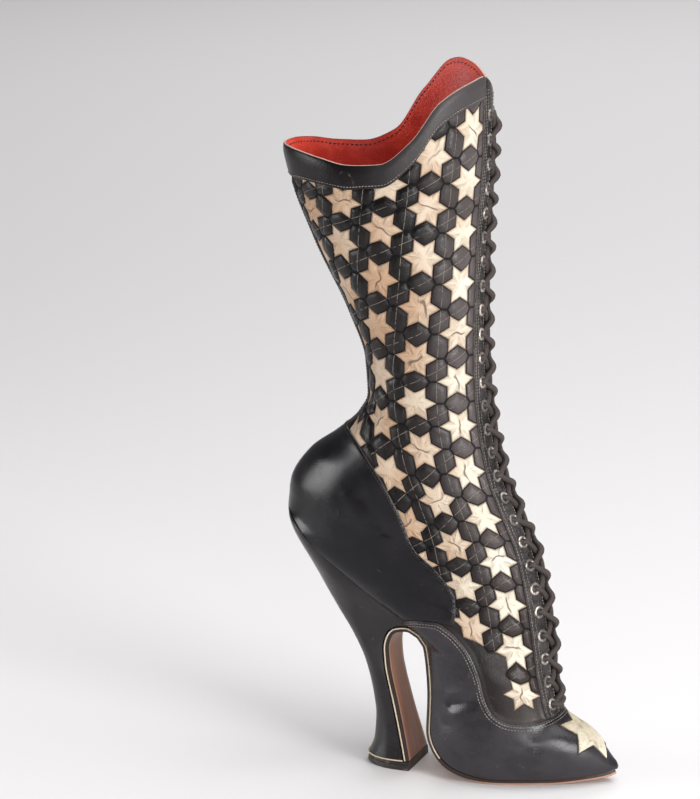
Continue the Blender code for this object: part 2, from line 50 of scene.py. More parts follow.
OUTER = GAP + OVERLAY
EDGE_LEAST = 0.45
BACK_OFF = 0.05
SOLE_THICK = 3.0
SOLE_LIP = 0.8

# Lacing: places round the boot are measured from the middle of the front
SLIT_HALF = 2.6
EYELET_REACH = 8.2
EYESTAY_REACH = 14.5
TONGUE_REACH = 23.0
TONGUE_CORNER = 0.16
TONGUE_FRONT = 0.8
TONGUE_BACK = 2.2
TONGUE_RED = 2.3
EYELET_PITCH = 13.25
TOP_EYELET = 369.0
STAY_PULL = 0.38
STAY_PULL_HALF = 4.5
STAY_THREADS = (SLIT_HALF + 1.2, EYESTAY_REACH - 3.2, EYESTAY_REACH - 0.95)
RING_ROUND = 2.75
RING_ROLL = 0.85
HOLE_ROUND = 2.3
LACE_ROUND = 1.6
LACE_POINTS = 25
LACE_SUNK = 1.6
LACE_RISE = 1.3
LACE_PARTING = 1.7
LACE_SEED = 11
CROSSING_HALF = 0.15
KNOT_SWELL = 0.2

# Ridges along the eyestays: rise, how far round, half width
STAY_RIDGES = ((0.22, 12.2, 0.55), (-0.2, 11.3, 0.4))

# Bands, strips and the toe's star
BAND_DEPTH = 12.5
BAND_DEPTH_BACK = 17.0
BACK_STAY_HALF = 6.0
RIM_INSIDE = 0.8
LINING_SHORT = 0.14
TOE_STAR_ROUND = 18.0
TOE_STAR_STATION = 18.0
TOE_STAR_SIDE = 0.8
TOE_STAR_TURN = math.radians(18.0)
PIPING_ROUND = 0.42
PIPING_DEEP = 0.25
PIPING_FIRST = 88

# The last, one row for each section from the top of the leg down to the toe
SECTION_COLUMNS = (
    "front_x", "front_z", "back_x", "back_z", "half_width", "widest", "sole_half", "turn", "sway",
)
SECTIONS = {
    "crown": (18.2, 410.0, -101.8, 410.0, 45.5, 0.50, 0.0, 14.0, 0.0),
    "collar": (17.6, 345.0, -92.6, 345.0, 44.5, 0.50, 0.0, 13.0, 0.0),
    "calf": (15.7, 300.0, -76.2, 300.0, 41.0, 0.50, 0.0, 11.0, 0.0),
    "shin": (15.8, 262.0, -57.4, 262.0, 36.0, 0.50, 0.0, 9.0, 0.0),
    "ankle": (16.9, 234.0, -47.2, 234.0, 32.0, 0.50, 0.0, 7.0, 0.0),
    "tendon": (19.0, 212.0, -45.9, 214.0, 31.0, 0.50, 0.0, 5.0, 0.0),
    "heel_top": (22.6, 190.0, -50.8, 203.0, 31.0, 0.49, 0.0, 4.0, 0.0),
    "heel_swell": (28.7, 168.0, -64.8, 190.0, 31.0, 0.46, 0.0, 3.0, 0.0),
    "heel_round": (37.8, 148.0, -80.8, 178.2, 31.5, 0.43, 0.0, 2.0, 0.0),
    "heel_back": (47.0, 128.0, -91.8, 161.5, 32.0, 0.40, 0.0, 1.0, 0.0),
    "seat_back": (52.7, 108.0, -94.2, 146.0, 32.0, 0.37, 24.0, 0.0, 0.0),
    "seat": (55.8, 90.0, -72.0, 128.2, 31.5, 0.36, 25.5, 0.0, 0.0),
    "seat_front": (57.4, 74.0, -45.0, 107.5, 31.0, 0.38, 24.5, 0.0, 0.0),
    "crest": (58.6, 60.0, -22.0, 90.0, 30.5, 0.42, 20.0, 0.0, 0.0),
    "waist_top": (60.5, 50.0, -7.5, 75.0, 30.0, 0.44, 17.5, 0.0, 0.0),
    "waist": (62.5, 42.0, -4.6, 50.0, 30.0, 0.44, 17.5, 0.0, 0.0),
    "joint": (66.0, 36.5, -4.0, 27.0, 30.5, 0.42, 21.0, 0.0, 0.0),
    "ball": (72.0, 32.5, 8.0, 10.0, 30.0, 0.38, 26.0, 0.0, 0.0),
    "tread": (79.0, 28.0, 32.0, 3.4, 26.0, 0.34, 23.5, 0.0, 1.0),
    "toe_box": (86.0, 21.0, 60.0, 3.4, 18.0, 0.34, 16.0, 0.0, 3.0),
    "toe": (91.2, 13.5, 81.4, 5.0, 9.0, 0.36, 7.8, 0.0, 5.0),
    "tip": (94.0, 10.0, 92.0, 6.8, 3.4, 0.40, 2.9, 0.0, 6.0),
    "nose": (94.95, 8.2, 94.95, 8.2, 0.0, 0.40, 0.0, 0.0, 6.0),
}
STATION = {name: i for i, name in enumerate(SECTIONS)}
SECTION_TABLE = np.array(list(SECTIONS.values()))
NOSE = STATION["nose"]
SEAT = STATION["seat_back"]
SHIN = STATION["shin"]
TREAD = STATION["tread"]
TOE_BOX = STATION["toe_box"]
SEAT_ROUND = 0.9
THROAT = 15.8
SLIT_CLOSE = 0.5

# Height of the collar on the boot's left (1) and right (-1), every 18 degrees of theta
# from the front round to the back, and the round top that the left adds to it
COLLAR_STEP = 18.0
COLLAR = {
    1: (380.0, 386.0, 391.4, 390.4, 376.0, 353.2, 347.2, 348.3, 351.0, 352.0, 352.0),
    -1: (380.0, 390.5, 387.3, 379.3, 358.6, 346.7, 345.8, 348.6, 351.0, 352.0, 352.0),
}
RIM_DOME = 4.0
RIM_DOME_AT = 48.0
RIM_DOME_HALF = 13.0

# Edges of the pieces laid over the upper, seen from the side as x and z
VAMP_EDGE = (
    (72.0, 45.0), (62.5, 38.3), (53.4, 36.6), (43.3, 37.6), (34.2, 42.6), (29.5, 51.0), (26.7, 62.2),
    (20.5, 76.1), (9.2, 88.2), (0.5, 92.6), (-9.0, 92.8), (-19.5, 90.3),
)
COUNTER_EDGE = (
    (-19.5, 91.0), (-9.0, 93.4), (0.5, 93.2), (10.4, 92.0), (12.0, 98.0), (11.4, 106.2), (2.5, 119.7),
    (-11.6, 133.5), (-19.8, 152.5), (-30.9, 171.7), (-48.4, 190.8), (-60.8, 196.0), (-75.0, 200.0),
)
EDGE_RISE = 0.2
VAMP_UNDER = (13.2, 21.6)
COUNTER_UNDER = (SEAT + 0.02, 12.9)
COUNTER_CORNER = 3
BEYOND = 115.0

# The heel, from the seat down to the top lift
HEEL_COLUMNS = ("back_x", "back_z", "breast_x", "breast_z", "half", "breast_half", "square")
HEEL = (
    (-94.5, 145.4, -13.7, 82.6, 26.0, 17.5, 5.0),
    (-91.3, 138.0, -21.0, 83.9, 24.5, 15.5, 4.2),
    (-86.0, 127.0, -29.0, 82.4, 22.5, 14.2, 3.6),
    (-79.0, 112.5, -34.0, 77.5, 20.0, 13.2, 3.2),
    (-69.0, 95.5, -36.2, 69.0, 17.2, 12.6, 2.8),
    (-58.4, 79.0, -35.6, 59.5, 15.0, 12.2, 2.6),
    (-49.7, 60.5, -33.7, 49.5, 13.6, 12.2, 2.5),
    (-44.8, 41.0, -31.2, 39.5, 13.2, 12.5, 2.5),
    (-43.2, 28.0, -28.6, 29.0, 13.6, 13.2, 2.5),
    (-44.0, 15.5, -25.5, 17.0, 15.2, 14.8, 2.5),
    (-47.3, 5.4, -22.6, 5.4, 17.2, 16.6, 2.5),
)
HEEL_MEETS = 0.3
HEEL_LIFTS = 1.1
SEAM_DEEP = 0.7
LIFT = 5.0
LIFT_FLARE = 0.8
BREAST = (
    (-12.8, 80.2, 16.6), (-21.0, 83.2, 15.0), (-28.6, 81.8, 14.0), (-33.4, 77.2, 13.2), (-35.6, 69.0, 12.6),
    (-35.0, 59.5, 12.2), (-33.1, 49.5, 12.2), (-30.6, 39.5, 12.5), (-28.0, 29.0, 13.2), (-24.9, 17.0, 14.8),
    (-22.0, 5.4, 16.6),
)

# The star panel: how far round each column of stars lies, and the stations of its stars.
# A row number goes up by one from star to star down a column, and the tail is how many
# stations the three rows below the last star take.
STAR_PITCH = 26.5
STAR_FIRST_REACH = 26.0
STAR_COLUMN_REACH = 24.1
STAR_TOP_SHIFT = 2.4
STAR_COLUMNS = (
    (0.0, (0.70, 1.20, 1.80, 2.50, 3.25, 4.28, 5.50, 6.70, 8.03, 9.20, 10.45, 11.98, 14.03)),
    (0.5, (0.90, 1.45, 2.10, 2.80, 3.75, 4.85, 6.35, 7.83, 9.08, 10.28, 11.68)),
    (1.0, (1.18, 1.70, 2.38, 3.15, 4.12, 5.80, 7.38, 8.88, 9.90)),
    (1.5, (1.40, 1.93, 2.66, 3.55, 4.85, 6.83, 8.40)),
    (1.0, (1.08, 1.55, 2.18, 2.95, 4.00, 5.90, 7.90)),
)
STAR_TAIL = (6.15, 5.74, 3.06, 4.71, 6.0)
STAR_EDGE = math.sqrt(3) / 8
STAR_TIP = math.sqrt(3) / 4
COLUMN_STEP = math.sqrt(3) / 2
PAD_RISE = 1.4
STAR_RISE = 0.55
PANEL_SUNK = 0.6
STAR_SLOPE = 2.4
PAD_SLOPE = 3.3
PADS_END = 10.35
FRONT_PADS_END = 11.9
FRONT_PADS_REACH = 0.05
RELIEF_FADE = (-0.4, 2.6)

# How finely the larger pieces, the table of girths and the softened lines are made, and small margins
UPPER_ROWS = 380
UPPER_COLUMNS = 118
TABLE_ROWS = 440
TABLE_TURNS = 180
SOFT_STEPS = 8
JUST_UNDER = 0.001
TINY = 1e-12


def hermite(values, u):
    """A smooth curve through the values at 0, 1, 2 ... that doesn't overshoot them."""
    values = np.asarray(values, float)
    steps = np.diff(values)
    slopes = np.zeros_like(values)
    slopes[0] = steps[0]
    slopes[-1] = steps[-1]
    rising = steps[:-1] * steps[1:] > 0
    mean = 2 * steps[:-1] * steps[1:] / np.where(rising, steps[:-1] + steps[1:], 1)
    slopes[1:-1] = np.where(rising, mean, 0)
    i = np.clip(np.floor(u).astype(int), 0, len(steps) - 1)
    t = u - i
    return (
        values[i] * (1 + 2 * t) * (1 - t) ** 2
        + slopes[i] * t * (1 - t) ** 2
        + values[i + 1] * t * t * (3 - 2 * t)
        + slopes[i + 1] * t * t * (t - 1)
    )


def step_up(x, low, high):
    """Zero below low, one above high and smooth between."""
    t = np.clip((x - low) / (high - low), 0, 1)
    return t * t * (3 - 2 * t)


def domed(x):
    """Zero below 0, one above 1, with a rounded top."""
    return 1 - (1 - np.clip(x, 0, 1)) ** 2


def length_along(path):
    """The length from a path's start to each of its points."""
    return np.concatenate([[0], np.cumsum(np.linalg.norm(np.diff(path, axis=0), axis=1))])


def section(u):
    """The section table's columns at station u, with a crease round the seat's back."""
    s = {c: hermite(SECTION_TABLE[:, k], u) for k, c in enumerate(SECTION_COLUMNS)}
    for c in ("back_x", "back_z"):
        column = SECTION_TABLE[:, SECTION_COLUMNS.index(c)]
        above = hermite(column[: SEAT + 1], np.minimum(u, SEAT))
        below = hermite(column[SEAT:], np.maximum(u - SEAT, 0))
        s[c] = np.where(u < SEAT, above, below)
    s["sole_half"] = s["sole_half"] * np.sqrt(domed((u - SEAT) / SEAT_ROUND))
    return s


def last_point(u, theta, side):
    """A point of the last: theta runs from the front ridge (0) round to the sole's edge (pi)."""
    s = section(u)
    front = theta < math.pi / 2
    along = s["widest"] + np.where(front, 1 - s["widest"], s["widest"]) * np.cos(theta)
    under = np.where(front, 0, s["sole_half"])
    round_out = s["half_width"] * np.sin(theta)
    out = side * np.where(under > 0, np.hypot(round_out, under * np.cos(theta)), round_out)
    x = s["back_x"] + (s["front_x"] - s["back_x"]) * along
    z = s["back_z"] + (s["front_z"] - s["back_z"]) * along
    middle = (s["front_x"] + s["back_x"]) / 2
    turn = np.radians(s["turn"])
    turned_x = middle + (x - middle) * np.cos(turn) - out * np.sin(turn)
    turned_y = (x - middle) * np.sin(turn) + out * np.cos(turn) + s["sway"]
    return np.stack([turned_x, turned_y, z], axis=-1)


def last_normal(u, theta, side):
    """The outward direction of the last at a point."""
    step = 1e-4
    u = np.clip(u, 0.01, NOSE - 0.15)
    theta = np.where(section(u)["sole_half"] > 0, np.minimum(theta, math.pi - 0.03), theta)
    across = last_point(u, theta + step, side) - last_point(u, theta - step, side)
    down = last_point(u + step, theta, side) - last_point(u - step, theta, side)
    normal = np.reshape(side, np.shape(side) + (1,)) * np.cross(down, across)
    return normal / np.linalg.norm(normal, axis=-1, keepdims=True)


def skin(u, theta, side, outset):
    """The last moved outwards by outset."""
    outset = np.asarray(outset, float)
    return last_point(u, theta, side) + outset[..., None] * last_normal(u, theta, side)


TABLE_U = np.linspace(0, NOSE, TABLE_ROWS + 1)
TABLE_THETA = np.linspace(0, math.pi, TABLE_TURNS + 1)


def girth_table():
    """The distance round the boot, for every station and theta of the table."""
    u, theta = np.meshgrid(TABLE_U, TABLE_THETA, indexing="ij")
    steps = np.linalg.norm(np.diff(last_point(u, theta, 1), axis=1), axis=2)
    return np.concatenate([np.zeros((len(TABLE_U), 1)), np.cumsum(steps, axis=1)], axis=1)


GIRTH = girth_table()


def girth(u, theta):
    """The distance round the boot from the middle of the front."""
    a = np.clip(u / NOSE * TABLE_ROWS, 0, TABLE_ROWS - JUST_UNDER)
    b = np.clip(theta / math.pi * TABLE_TURNS, 0, TABLE_TURNS - JUST_UNDER)
    i = a.astype(int)
    j = b.astype(int)
    s = a - i
    t = b - j
    top = (1 - t) * GIRTH[i, j] + t * GIRTH[i, j + 1]
    low = (1 - t) * GIRTH[i + 1, j] + t * GIRTH[i + 1, j + 1]
    return (1 - s) * top + s * low


def reach(u, far):
    """The theta that lies this far round from the middle of the front, for each station."""
    u = np.asarray(u, float)
    far = np.asarray(far, float)
    flat = u.ravel()
    wide = np.broadcast_to(far, u.shape + far.shape[u.ndim:]).reshape(len(flat), -1)
    out = np.zeros(wide.shape)
    for k, one in enumerate(flat):
        a = min(one / NOSE * TABLE_ROWS, TABLE_ROWS - JUST_UNDER)
        i = int(a)
        row = (1 - a + i) * GIRTH[i] + (a - i) * GIRTH[i + 1]
        out[k] = np.interp(wide[k], row, TABLE_THETA)
    return out.reshape(u.shape + far.shape[u.ndim:])


def rim_height(theta, side):
    """The collar's height, with a round top on the boot's left."""
    turn = np.degrees(theta)
    dome = RIM_DOME * np.exp(-(((turn - RIM_DOME_AT) / RIM_DOME_HALF) ** 2))
    return hermite(COLLAR[side], turn / COLLAR_STEP) + (dome if side > 0 else 0.0)


def band_depth(theta):
    """How deep the band round the collar is: deeper at the back."""
    return BAND_DEPTH + (BAND_DEPTH_BACK - BAND_DEPTH) * np.clip((np.degrees(theta) - 100) / 60, 0, 1)


def collar(theta, side, below=0.0):
    """The station where the leg ends, or where it is this far below its end."""
    height = rim_height(theta, side) - below
    stations = np.linspace(0, SHIN, 481)
    return np.interp(-height, -section(stations)["back_z"], stations)


def below_collar(u, theta, side):
    """Stations of the leg closed up under the collar."""
    top = collar(theta, side)
    return np.where(u < SHIN, top + u / SHIN * (SHIN - top), u)


def front_reach(u):
    """The theta of the slit's edge, which closes at the throat."""
    closing = np.clip((THROAT - u) / SLIT_CLOSE, 0, 1)
    return reach(u, SLIT_HALF) * np.sqrt(closing)


def under_line(u, drop):
    """Points of the line under the foot, dropped below the upper."""
    s = section(u)
    a = section(np.clip(u - 1e-3, 0, NOSE))
    b = section(np.clip(u + 1e-3, 0, NOSE))
    run = np.stack([b["back_x"] - a["back_x"], b["back_z"] - a["back_z"]], axis=-1)
    run = run / np.linalg.norm(run, axis=-1, keepdims=True)
    return s["back_x"] + drop * run[..., 1], s["back_z"] - drop * run[..., 0]


def soften(line):
    """A line through the same points with smooth bends."""
    line = np.array(line)
    at = np.linspace(0, len(line) - 1, (len(line) - 1) * SOFT_STEPS + 1)
    return np.stack([hermite(column, at) for column in line.T], axis=1)


# Outlines of the overlays, seen from the side

def vamp_outline():
    under = np.stack(under_line(np.linspace(*VAMP_UNDER, 60), -EDGE_RISE), axis=1)
    return np.concatenate([soften(VAMP_EDGE), under, [(BEYOND, 4.0), (BEYOND, 60.0)]])


def counter_outline():
    under = np.stack(under_line(np.linspace(*COUNTER_UNDER, 30), -EDGE_RISE), axis=1)
    back = [(-BEYOND, 205.0), (-BEYOND, under[0, 1] + 0.6)]
    return np.concatenate([soften(COUNTER_EDGE), back, under])


VAMP_OUTLINE = vamp_outline()
COUNTER_OUTLINE = counter_outline()


def from_line(points, line):
    """How far points lie from an open line seen from the side."""
    best = np.full(points.shape[:-1], 1e9)
    for (ax, az), (bx, bz) in zip(line[:-1], line[1:]):
        dx = bx - ax
        dz = bz - az
        px = points[..., 0] - ax
        pz = points[..., 2] - az
        t = np.clip((px * dx + pz * dz) / (dx * dx + dz * dz + TINY), 0, 1)
        best = np.minimum(best, np.hypot(px - t * dx, pz - t * dz))
    return best


def inside_of(points, outline):
    """How far points lie inside an outline seen from the side, negative outside it."""
    x = points[..., 0]
    z = points[..., 2]
    odd = np.zeros(x.shape, bool)
    for (ax, az), (bx, bz) in zip(outline, np.roll(outline, -1, axis=0)):
        dz = bz - az if abs(bz - az) > TINY else TINY
        crosses = (az > z) != (bz > z)
        odd ^= crosses & (x < (bx - ax) * (z - az) / dz + ax)
    far = from_line(points, np.concatenate([outline, outline[:1]]))
    return np.where(odd, far, -far)


# The star panel's own coordinates: a row of stars is one unit from the next

def panel_place(u, round_far):
    """Where a spot of the leg lies on the flat star panel."""
    column = (round_far - STAR_FIRST_REACH + STAR_TOP_SHIFT * (1 - step_up(u, 0.6, 1.1))) / STAR_COLUMN_REACH
    rows = []
    for (first, stations), tail in zip(STAR_COLUMNS, STAR_TAIL):
        s = np.array(stations)
        s = np.concatenate([[s[0] - 3 * (s[1] - s[0])], s, [s[-1] + tail]])
        r = np.concatenate([[first - 3], first + np.arange(len(stations)), [first + len(stations) + 2]])
        rows.append(np.interp(u, s, r))
    rows = np.stack(rows)
    c = np.clip(column, 0, len(rows) - 1.001)
    i = c.astype(int)
    t = c - i
    row = (1 - t) * np.take_along_axis(rows, i[None], 0)[0] + t * np.take_along_axis(rows, i[None] + 1, 0)[0]
    return column * COLUMN_STEP, row


def nearest_star(x, y):
    """The place from the nearest star's middle, and that star's column and row."""
    near = []
    for shift in (0.0, 0.5):
        column = 2 * np.round(x / COLUMN_STEP / 2 - shift) + 2 * shift
        row = np.round(y - shift) + shift
        near.append((x - column * COLUMN_STEP, y - row, column, row))
    first = np.hypot(near[0][0], near[0][1]) < np.hypot(near[1][0], near[1][1])
    return [np.where(first, a, b) for a, b in zip(*near)]


def star_there(column, row):
    """True where the panel has a star of this column and row."""
    there = np.zeros(np.shape(column), bool)
    for k, (first, stations) in enumerate(STAR_COLUMNS):
        rows = np.round(row - first, 3)
        there |= (np.round(column) == k) & (rows >= -0.01) & (rows <= len(stations) - 0.99)
    return there


def from_star_middle(x, y):
    """How far out from a star's middle a spot lies, square to the star's edges."""
    a = np.stack([x, 0.5 * x + COLUMN_STEP * y, -0.5 * x + COLUMN_STEP * y])
    one = np.max([a[1], -a[0], -a[2]], axis=0)
    other = np.max([a[0], a[2], -a[1]], axis=0)
    return np.minimum(one, other)


def panel_relief(x, y):
    """Height of the padded panel, where its stars are, and where it is padded at all."""
    dx, dy, column, row = nearest_star(x, y)
    from_star = (from_star_middle(dx, dy) - STAR_EDGE) * STAR_PITCH
    ray = np.stack([dy, COLUMN_STEP * dx + 0.5 * dy, 0.5 * dy - COLUMN_STEP * dx])
    seam = np.minimum(np.min(np.abs(ray), axis=0) * STAR_PITCH, np.maximum(from_star, 0))
    there = star_there(column, row)
    star = STAR_RISE * domed(-from_star / STAR_SLOPE)
    pad = PAD_RISE * domed(seam / PAD_SLOPE)
    angle = np.round((np.arctan2(dy, dx) - math.pi / 6) / (math.pi / 3)) * math.pi / 3 + math.pi / 6
    beyond = star_there(
        column + np.round(np.cos(angle) / COLUMN_STEP), row + np.round(2 * np.sin(angle)) / 2
    )
    in_front = (x < FRONT_PADS_REACH) & (y < FRONT_PADS_END)
    padded = ((there & beyond) | (y < PADS_END) | in_front).astype(float)
    star_on = (from_star < 0) & there
    return np.where(star_on, star, pad * padded), there.astype(float), padded


def clear_of_overlays(u, theta, side, points):
    """Zero under the pieces laid over the upper, rising to one a few millimetres from them."""
    away = rim_height(theta, side) - band_depth(theta) - points[..., 2]
    away = np.minimum(away, girth(u, theta) - EYESTAY_REACH)
    for outline in (VAMP_OUTLINE, COUNTER_OUTLINE):
        away = np.minimum(away, -inside_of(points, outline))
    back = (math.pi - theta) * section(u)["half_width"] - BACK_STAY_HALF
    away = np.where(u < STATION["heel_swell"], np.minimum(away, back), away)
    return step_up(away, *RELIEF_FADE)


# Making meshes

def make_mesh(name, points, *faces):
    """A smooth mesh from points in millimetres and arrays of faces with equal numbers of corners."""
    faces = [np.asarray(f, np.int32) for f in faces if len(f)]
    mesh = bpy.data.meshes.new(name)
    mesh.vertices.add(len(points))
    mesh.vertices.foreach_set("co", (np.asarray(points, float) * MM).ravel())
    corners = np.concatenate([f.ravel() for f in faces])
    sizes = np.concatenate([np.full(len(f), f.shape[1]) for f in faces])
    mesh.loops.add(len(corners))
    mesh.loops.foreach_set("vertex_index", corners)
    mesh.polygons.add(len(sizes))
    mesh.polygons.foreach_set("loop_start", np.concatenate([[0], np.cumsum(sizes)[:-1]]).astype(np.int32))
    mesh.polygons.foreach_set("use_smooth", np.full(len(sizes), True))
    mesh.update(calc_edges=True)
    return mesh


def grid_faces(rows, columns, offset=0, flip=False):
    """The four-cornered faces of a grid whose points are numbered from offset."""
    ids = np.arange(rows * columns).reshape(rows, columns) + offset
    quads = np.stack([ids[:-1, :-1], ids[1:, :-1], ids[1:, 1:], ids[:-1, 1:]], axis=-1).reshape(-1, 4)
    return quads[:, ::-1] if flip else quads


def grid_triangles(u):
    """The same faces for a grid of this shape, each cut into two."""
    quads = grid_faces(*u.shape)
    return np.concatenate([quads[:, [0, 1, 2]], quads[:, [0, 2, 3]]])


def grids_mesh(name, grids, flips):
    """One mesh from grids of points, with the faces of some turned over."""
    faces = []
    start = 0
    for grid, flip in zip(grids, flips):
        rows, columns = grid.shape[:2]
        faces.append(grid_faces(rows, columns, start, flip))
        start += rows * columns
    return make_mesh(name, np.concatenate([g.reshape(-1, 3) for g in grids]), np.concatenate(faces))


def add_uv(mesh, name, uv):
    """A UV map with one place for each point."""
    corners = np.zeros(len(mesh.loops), np.int32)
    mesh.loops.foreach_get("vertex_index", corners)
    mesh.uv_layers.new(name=name).data.foreach_set("uv", np.asarray(uv, float)[corners].ravel())


def add_value(mesh, name, values):
    """An attribute with one number for each point."""
    mesh.attributes.new(name, "FLOAT", "POINT").data.foreach_set("value", np.asarray(values, float))


def add_piece(name, mesh, finish, slot, *nodes):
    """A piece of the boot, riding on its one body."""
    made = bpy.data.objects.new(name, mesh)
    bpy.context.scene.collection.objects.link(made)
    if finish:
        mesh.materials.clear()
        mesh.materials.append(finish)
    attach(made, "root")
    if nodes:
        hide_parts(*nodes)
    return made


def trim(u, theta, inside):
    """Cuts a grid along the line where inside is zero: points, triangles, and the cut's segments."""
    triangles = grid_triangles(u)
    f = inside.ravel().copy()
    f[np.abs(f) < 1e-4] = 1e-4
    within = f[triangles] > 0
    count = within.sum(axis=1)
    kept = [triangles[count == 3]]
    pairs = []
    plans = []
    for wanted, lone in ((1, True), (2, False)):
        some = triangles[count == wanted]
        first = np.argmax(within[count == wanted] == lone, axis=1)
        turned = np.stack([some[np.arange(len(some)), (first + k) % 3] for k in range(3)], axis=1)
        pairs += [turned[:, [0, 1]], turned[:, [0, 2]]]
        plans.append((wanted, turned))
    cut = np.sort(np.concatenate(pairs), axis=1)
    edges, where = np.unique(cut, axis=0, return_inverse=True)
    where = where.ravel() + u.size
    share = f[edges[:, 0]] / (f[edges[:, 0]] - f[edges[:, 1]])

    def with_cuts(values):
        a, b = values.ravel()[edges].T
        return np.concatenate([values.ravel(), a + share * (b - a)])

    all_f = np.concatenate([f, np.zeros(len(edges))])
    start = 0
    segments = []
    for wanted, turned in plans:
        n = len(turned)
        p = where[start : start + n]
        q = where[start + n : start + 2 * n]
        start += 2 * n
        segments.append(np.stack([p, q], axis=1))
        if wanted == 1:
            kept.append(np.stack([turned[:, 0], p, q], axis=1))
        else:
            kept.append(np.stack([p, turned[:, 1], turned[:, 2]], axis=1))
            kept.append(np.stack([p, turned[:, 2], q], axis=1))
    triangles = np.concatenate(kept)
    used, renumbered = np.unique(triangles, return_inverse=True)
    back = np.full(len(all_f), -1)
    back[used] = np.arange(len(used))
    segments = back[np.concatenate(segments)]
    return {
        "u": with_cuts(u)[used], "theta": with_cuts(theta)[used], "inside": all_f[used],
        "triangles": renumbered.reshape(-1, 3), "segments": segments[(segments >= 0).all(axis=1)],
    }


def strip_parts(u, theta, sides, **values):
    """Parts for cover over a regular grid, one for each side."""
    values.update(u=u, theta=theta)
    flat = {key: np.broadcast_to(value, u.shape).ravel() for key, value in values.items()}
    return [dict(flat, side=side, triangles=grid_triangles(u)) for side in sides]


def cover(name, parts):
    """A closed mesh between the top and low outsets of parts, welded where the sides meet."""
    u, theta, side, top, low, inside = (
        np.concatenate([np.broadcast_to(p[key], len(p["u"])) for p in parts])
        for key in ("u", "theta", "side", "top", "low", "inside")
    )
    starts = np.cumsum([0] + [len(p["u"]) for p in parts])
    triangles = np.concatenate([p["triangles"] + s for p, s in zip(parts, starts)])
    base = last_point(u, theta, side)
    _, first, same = np.unique(np.round(base, 3) + 0.0, axis=0, return_index=True, return_inverse=True)
    triangles = same.ravel()[triangles]
    triangles = triangles[(triangles != np.roll(triangles, -1, axis=1)).all(axis=1)]
    u, theta, side, top, low, inside, base = (v[first] for v in (u, theta, side, top, low, inside, base))
    normals = last_normal(u, theta, side)
    a, b, c = (base[triangles[:, k]] for k in range(3))
    facing = np.einsum("ij,ij->i", np.cross(b - a, c - a), normals[triangles[:, 0]])
    triangles[facing < 0] = triangles[facing < 0][:, ::-1]
    n = len(u)
    directed = np.concatenate([triangles[:, [0, 1]], triangles[:, [1, 2]], triangles[:, [2, 0]]])
    open_edge = directed[~np.isin(directed[:, 0] * n + directed[:, 1], directed[:, 1] * n + directed[:, 0])]
    walls = np.stack([open_edge[:, 1], open_edge[:, 0], open_edge[:, 0] + n, open_edge[:, 1] + n], axis=1)
    points = np.concatenate([base + top[:, None] * normals, base + low[:, None] * normals])
    mesh = make_mesh(name, points, triangles, triangles[:, ::-1] + n, walls)
    add_value(mesh, "edge", np.concatenate([inside, inside]))
    add_uv(mesh, "skin", np.concatenate([np.stack([girth(u, theta), u], axis=1)] * 2) * MM)
    mesh.set_sharp_from_angle(angle=math.radians(48))
    return mesh


def chains(points, segments):
    """Runs of points joined end to end by segments."""
    links = {}
    for a, b in segments.tolist():
        if a != b:
            links.setdefault(a, []).append(b)
            links.setdefault(b, []).append(a)
    runs = []
    unused = set(links)
    ends = [k for k, v in links.items() if len(v) == 1]
    for start in ends + sorted(links):
        if start not in unused:
            continue
        run = [start]
        unused.discard(start)
        while True:
            onward = [k for k in links[run[-1]] if k in unused]
            if not onward:
                break
            run.append(onward[0])
            unused.discard(onward[0])
        if len(run) > 2:
            runs.append(points[np.array(run)])
    return runs


# Repeats made with geometry nodes

def node_inputs(tree, *sockets):
    """What a tree is given, and the geometry that it puts out."""
    for name, kind in sockets:
        tree.interface.new_socket(name=name, in_out="INPUT", socket_type=kind)
    tree.interface.new_socket(name="Geometry", in_out="OUTPUT", socket_type="NodeSocketGeometry")


def grow(tree, kind, links=(), **settings):
    """A node of a tree with its settings, and its inputs linked or set by name or number."""
    made = tree.nodes.new(kind)
    for key, value in settings.items():
        setattr(made, key, value)
    for key, value in dict(links).items():
        socket = made.inputs[key]
        if isinstance(value, bpy.types.NodeSocket):
            tree.links.new(value, socket)
        else:
            socket.default_value = value
    return made


def end_tree(tree, repeats, stuff):
    """Ends a tree: its repeats made real, smooth and of one material."""
    real = grow(tree, "GeometryNodeRealizeInstances", {0: repeats.outputs[0]})
    smooth = grow(tree, "GeometryNodeSetShadeSmooth", {0: real.outputs[0]})
    done = grow(tree, "GeometryNodeSetMaterial", {"Geometry": smooth.outputs[0], "Material": stuff})
    grow(tree, "NodeGroupOutput", {0: done.outputs[0]})
    return tree


